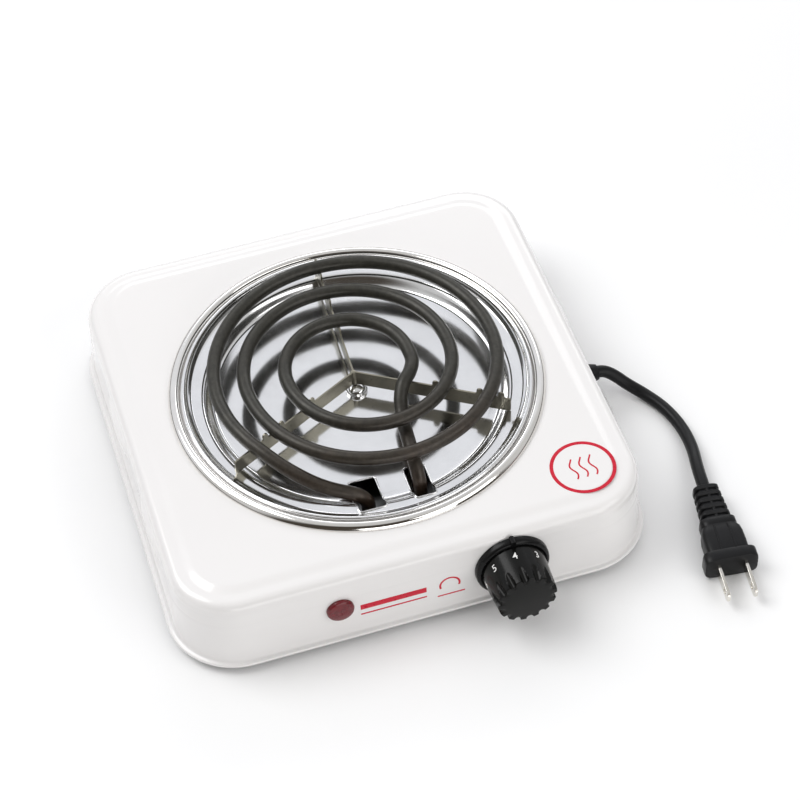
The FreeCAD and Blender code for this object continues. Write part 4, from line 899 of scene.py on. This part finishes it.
def digits(base):
    """The scale of 0 to 6 printed round the knob's plain skirt, 4 at the pointer."""
    for number in range(7):
        curve = bpy.data.curves.new(f"digit_{number}", "FONT")
        curve.body = str(number)
        curve.size = mm(DIGIT_HEIGHT * FONT_PER_HEIGHT)
        curve.align_x = "CENTER"
        curve.align_y = "CENTER"
        curve.offset = mm(0.012)
        curve.extrude = mm(0.02)
        curve.resolution_u = 6
        text = new_object(f"digit_{number}", curve)
        bpy.context.view_layer.update()
        mesh = bpy.data.meshes.new_from_object(text.evaluated_get(bpy.context.evaluated_depsgraph_get()))
        bpy.data.objects.remove(text)
        printed = new_object(f"printed_{number}", mesh)
        turn = math.pi / 2 + KNOB_TURNED + math.radians((number - POINTED_DIGIT) * DIGIT_PITCH)
        for vertex in mesh.vertices:
            x, y, z = vertex.co
            level = mm(DIGIT_LEVEL) - y
            draft = (KNOB_FRONT - KNOB_BACK) * level * 1000 / (KNOB_LENGTH - KNOB_DOME)
            radius = mm(KNOB_BACK + draft) + mm(INK_LIFT) + z
            angle = turn - x / mm(KNOB_BACK)
            vertex.co = Vector((radius * math.cos(angle), radius * math.sin(angle), level))
        move(printed, base)
        dress(printed, "knob_black", "knob", material=WHITE_INK)


def pilot_lens():
    profile = [(2.9, -8.0), (5.3, -8.0), (5.3, 0.02), (6.4, 0.02), (6.4, 0.9), (6.15, 1.35)]
    profile += [(6.15 * math.cos(math.radians(a)), 1.35 + 1.55 * math.sin(math.radians(a)))
                for a in range(12, 88, 8)]
    profile += [(0.3, 2.9), (0.3, 0.6), (2.9, 0.6)]
    lens = lathe("pilot_jewel", profile, 72)
    move(lens, wall_frame(LENS_SPOT))
    return dress(lens, "lens_red", "base", "pilot_lens")


# ---- printed marks, generic -----------------------------------------------------------------------


INK_FLATTENED, INK_SEAT, INK_FILM = 0.08, 0.005, 0.05


def ink_line(name, points, width, flat=None):
    """A printed stroke of a width in millimetres along points on the panel, or on the front wall."""
    path = [Vector((x, y, 0)) * 0.001 for x, y in points]
    if len(points) > 2:
        path = smooth_path(path, 6)
    stroke = tube(name, path, mm(width / 2), 8)
    for vertex in stroke.data.vertices:
        vertex.co.z = max(0.0, vertex.co.z) * INK_FLATTENED + mm(INK_SEAT)
    if flat:
        move(stroke, flat)
    dress(stroke, "enamel", "base", material=RED_INK)


def printed_ring():
    """A plain red ring printed on the panel's front right corner, round three plain wavy strokes."""
    cx, cy = 84.3, -83.8 + SHIFT * 1000
    outer, inner = 15.2, 13.5
    count = 96
    loops = [circle(radius, PANEL_Z * 1000 + lift, count, (cx, cy))
             for radius, lift in ((outer, INK_SEAT), (outer, INK_FILM), (inner, INK_FILM), (inner, INK_SEAT))]
    dress(stacked("printed_ring", loops, closed=True), "enamel", "base", material=RED_INK)
    place = Matrix.Translation(Vector((cx, cy, PANEL_Z * 1000)) * 0.001)
    for number in range(3):
        wave = [((number - 1) * 4.6 + 1.1 * math.sin(k * 0.9), -6.0 + 1.5 * k) for k in range(9)]
        ink_line(f"printed_wave_{number}", wave, 0.8, place)


FRONT_MARK_X, FRONT_MARK_Z = -4, 20.0
FRONT_BARS = ((-11, 1.6, 31, 3.4), (-11, -3.2, 31, 1.0), (16, -5.4, 13, 0.9))
ARCH_X, ARCH_Y, ARCH_RADIUS = 15.5, 1.0, 4.6


def printed_front():
    """A plain red bar, two thin strokes and an arch on the front wall."""
    up_wall = AXIS.cross(Vector((1, 0, 0)))
    spot = Vector((mm(FRONT_MARK_X), KNOB_SPOT.y, KNOB_SPOT.z))
    place = wall_frame(spot - up_wall * mm(KNOB_SPOT.z * 1000 - FRONT_MARK_Z))
    for number, (x, y, length, width) in enumerate(FRONT_BARS):
        ink_line(f"printed_bar_{number}", [(x - length / 2, y), (x + length / 2, y)], width, place)
    arch = arc((ARCH_X, ARCH_Y), ARCH_RADIUS, -20, 200, 11)
    ink_line("printed_arch", arch, 1.0, place)


# ---- cord and plug --------------------------------------------------------------------------------

# The cord's route in millimetres, y from the middle of the pressing, as the CAD has it.
CORD_ROUTE = [
    (120.86, -6.0, 13.6),
    (123.8, -6.0, 13.6),
    (128.6, -8.2, 11.2),
    (134.2, -12.4, 6.6),
    (140.8, -18.4, 3.6),
    (147.2, -29.6, 3.0),
    (150.6, -43.6, 3.0),
    (150.2, -58.8, 4.0),
    (146.4, -73.4, 7.0),
    (144.9, -86.5, 7.0),
]
PLUG_HEADING = (-1.5, -13.1)


def cord_points():
    return [Vector((mm(x), mm(y) + SHIFT, mm(z))) for x, y, z in CORD_ROUTE]


def mains_cord():
    curve = bpy.data.curves.new("cord", "CURVE")
    curve.dimensions = "3D"
    curve.bevel_depth = mm(CORD_DIAMETER / 2)
    curve.bevel_resolution = 8
    curve.resolution_u = 16
    curve.use_fill_caps = True
    spline = curve.splines.new("NURBS")
    route = cord_points()
    spline.points.add(len(route) - 1)
    for point, spot in zip(spline.points, route):
        point.co = (*spot, 1)
    spline.order_u = 3
    spline.use_endpoint_u = True
    cord = new_object("power_cord", curve)
    dress(cord, "cord_black", "base", "mains_cord")


def plug_matrix():
    angle = math.atan2(PLUG_HEADING[1], PLUG_HEADING[0])
    return Matrix.Translation(cord_points()[-1]) @ Matrix.Rotation(angle, 4, "Z")


def oval_loop(x, width, height, power=2.6, count=48):
    """A rounded-box section across the plug's axis."""
    loop = []
    for k in range(count):
        angle = math.tau * k / count
        c, s = math.cos(angle), math.sin(angle)
        loop.append((x, math.copysign(abs(c) ** (2 / power), c) * width / 2,
                     math.copysign(abs(s) ** (2 / power), s) * height / 2))
    return loop


PLUG_RIBS, RIB_PITCH = 5, 4.0
BLADE_PITCH = 12.7


def plug_body():
    """Moulded plug lying flat: ribbed sleeve, waisted grip and a flange at the blades."""
    sections = [(0.0, 8.2, 7.2), (0.2, 9.6, 8.0)]
    for rib in range(PLUG_RIBS):
        wide, tall = 12.2 + 0.5 * rib, 9.6 + 0.3 * rib
        start = RIB_PITCH * rib
        sections += [(start + 0.25, wide - 0.8, tall - 0.7), (start + 0.6, wide, tall),
                     (start + 2.1, wide, tall), (start + 2.45, wide - 0.7, tall - 0.7),
                     (start + 2.65, wide - 2.2, tall - 2.0), (start + 3.75, wide - 2.0, tall - 1.9)]
    # the grip, the shoulder that widens behind it, and the flange
    sections += [(20.1, 14.8, 10.4), (20.4, 16.8, 11.2), (20.9, 17.2, 11.6), (23.9, 17.2, 11.6),
                 (24.3, 16.9, 11.3), (24.8, 16.9, 11.2), (26.6, 18.6, 11.7), (29.5, 19.6, 11.9),
                 (35.0, 19.8, 12.0), (39.0, 19.6, 12.0), (39.7, 19.4, 11.9), (39.9, 21.8, 12.4),
                 (40.3, 24.4, 13.5), (40.9, 25.0, 13.8), (45.2, 25.0, 13.8), (45.9, 24.6, 13.4),
                 (46.2, 23.6, 12.6)]
    loops = [oval_loop(x, wide, tall, 3.6 if x < 25 else 5.0) for x, wide, tall in sections]
    plug = stacked("moulded_plug", loops, caps=True)
    move(plug, plug_matrix())
    dress(plug, "plug_black", "base", "plug_body")
    pieces = [plug]
    for side in (1, -1):
        for number, y in enumerate((-3.4, 3.4)):
            line = [Vector((x, y * stretch, side * 5.85)) * 0.001 for x, stretch in
                    ((25.6, 0.92), (29.0, 0.98), (33.0, 1.0), (39.8, 1.04))]
            seam = tube(f"plug_seam_{side + 1}_{number}", line, mm(0.42), 10)
            move(seam, plug_matrix())
            dress(seam, "plug_black", "base")
            pieces.append(seam)
        for rib in range(PLUG_RIBS):
            line = [Vector((RIB_PITCH * rib + x, 0, side * (3.3 + 0.15 * rib))) * 0.001
                    for x in (2.2, 3.0, 4.1)]
            spine = tube(f"plug_spine_{side + 1}_{rib}", line, mm(1.1), 12)
            move(spine, plug_matrix())
            dress(spine, "plug_black", "base")
            pieces.append(spine)
    return pieces


def plug_blades():
    length, width, thick, face = 17.5, 6.3, 1.5, 46.0
    blades = []
    for side in (-1, 1):
        outline = [(face, -width / 2), (face + length - 1.6, -width / 2),
                   (face + length + 0.2, -width / 2 + 1.5), (face + length + 0.2, width / 2 - 1.5),
                   (face + length - 1.6, width / 2), (face, width / 2)]
        blade = prism(f"blade_{side + 1}", outline, thick)
        hole = prism("blade_hole", arc((face + length - 5, 0), 1.6, 0, 345, 23), 8)
        move(hole, Matrix.Translation((0, 0, mm(-3))))
        cut_away(blade, [hole])
        round_edges(blade, 0.22, 2, 50)
        upright = Matrix.Rotation(math.radians(90), 4, "X")
        seat = Matrix.Translation((0, mm(side * BLADE_PITCH / 2 + thick / 2), 0))
        move(blade, plug_matrix() @ seat @ upright)
        if side < 0:
            dress(blade, "blade_nickel", "base", "plug_blades")
        else:
            dress(blade, "blade_nickel", "base")
        blades.append(blade)
    return blades


def strain_relief():
    low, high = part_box("strain_relief")
    tip = (high.x - low.x) * 1000
    wall = tip - 9.6
    inside = [(3.05, 0), (5.6, 0), (5.6, wall - 4.6), (7.4, wall - 4.6), (7.4, wall - 2.2),
              (5.6, wall - 2.2)]
    head = [(5.6, wall + 0.4), (7.1, wall + 0.4), (7.4, wall + 0.7), (7.2, wall + 1.5), (6.6, wall + 2.8)]
    taper = [(6.1, wall + 3.4), (5.5, wall + 3.6), (5.3, wall + 4.0), (4.7, wall + 6.6),
             (4.0, wall + 9.2), (3.8, tip), (3.05, tip)]
    profile = inside + head + taper
    relief = lathe("cord_bush", profile, 64)
    turn = Matrix.Rotation(math.radians(90), 4, "Y")
    spot = Matrix.Translation((low.x, (low.y + high.y) / 2, (low.z + high.z) / 2))
    move(relief, spot @ turn)
    return dress(relief, "plug_black", "base", "strain_relief")


# ---- floor, light and camera ----------------------------------------------------------------------


LIGHT_AIM = Vector((0, 0, 0.02))
CAMERA_SPOT = (-0.1744, -0.7238, 0.8952)
CAMERA_TURN = (41.0215, 2.6516, -16.7857)
CAMERA_LENS, CAMERA_SHIFT = 108.57, (0.0442, 0.0015)


def floor():
    size = 6.0
    ground = mesh_object("floor", [(-size, -size, 0), (size, -size, 0), (size, size, 0), (-size, size, 0)],
                         [(0, 1, 2, 3)])
    look = Look("floor_paper", Roughness=0.9, Specular_IOR_Level=0.1)
    look.colour(look.ramp(look.noise(3, 3), [(0.3, (0.90, 0.90, 0.90)), (0.7, (0.93, 0.93, 0.93))]))
    ground.data.materials.append(look.material)


def area_light(name, spot, size, power):
    """A soft rectangular light turned towards the middle of the body."""
    data = bpy.data.lights.new(name, "AREA")
    data.shape = "RECTANGLE"
    data.size, data.size_y = size
    data.energy = power
    light = new_object(name, data)
    light.location = spot
    light.rotation_euler = (LIGHT_AIM - Vector(spot)).to_track_quat("-Z", "Y").to_euler()


def studio():
    world = bpy.data.worlds.new("studio")
    world.use_nodes = True
    tree = world.node_tree
    background = tree.nodes["Background"]
    background.inputs["Strength"].default_value = 0.62
    split = tree.nodes.new("ShaderNodeSeparateXYZ")
    tree.links.new(tree.nodes.new("ShaderNodeTexCoord").outputs["Generated"], split.inputs["Vector"])

    def band(axis, start, end):
        node = tree.nodes.new("ShaderNodeMapRange")
        node.interpolation_type = "SMOOTHSTEP"
        node.inputs["From Min"].default_value = start
        node.inputs["From Max"].default_value = end
        tree.links.new(split.outputs[axis], node.inputs["Value"])
        return node.outputs["Result"]

    front = tree.nodes.new("ShaderNodeMath")
    front.operation = "MULTIPLY"
    tree.links.new(band("Y", -0.25, -0.55), front.inputs[0])
    tree.links.new(band("Z", 0.94, 0.80), front.inputs[1])
    dark = tree.nodes.new("ShaderNodeMath")
    dark.operation = "MAXIMUM"
    tree.links.new(front.outputs["Value"], dark.inputs[0])
    tree.links.new(band("Z", 0.22, 0.04), dark.inputs[1])
    mix = tree.nodes.new("ShaderNodeMix")
    mix.data_type = "RGBA"
    tree.links.new(dark.outputs["Value"], mix.inputs[0])
    bright = tree.nodes.new("ShaderNodeMix")
    bright.data_type = "RGBA"
    tree.links.new(band("Y", 0.15, 0.55), bright.inputs[0])
    bright.inputs[6].default_value = (1, 1, 1, 1)
    bright.inputs[7].default_value = (1.32, 1.34, 1.40, 1)
    tree.links.new(bright.outputs[2], mix.inputs[6])
    mix.inputs[7].default_value = (0.10, 0.085, 0.07, 1)
    tree.links.new(mix.outputs[2], background.inputs["Color"])
    bpy.context.scene.world = world
    bpy.context.scene.view_settings.view_transform = "Standard"
    area_light("key", (-0.9, 0.5, 1.5), (1.1, 1.1), 15)
    area_light("fill", (0.9, -1.1, 1.1), (1.2, 0.9), 7)
    area_light("back", (0.5, 1.3, 0.9), (1.4, 0.5), 4)
    area_light("front", (0.2, -1.5, 0.45), (1.4, 0.6), 6.5)


def camera():
    data = bpy.data.cameras.new("view")
    data.sensor_width = 36
    data.lens = CAMERA_LENS
    data.shift_x, data.shift_y = CAMERA_SHIFT
    data.clip_start = 0.05
    eye = new_object("view", data)
    eye.location = CAMERA_SPOT
    eye.rotation_euler = [math.radians(angle) for angle in CAMERA_TURN]
    bpy.context.scene.camera = eye


# ---- the whole ------------------------------------------------------------------------------------

floor()
studio()
camera()
body_shell()
trim_ring()
drip_bowl()
dome_nut()
heating_coil()
coil_support()
knob_bezel()
control_knob()
pilot_lens()
printed_ring()
printed_front()
plug = plug_body()
blades = plug_blades()
relief = strain_relief()
mains_cord()
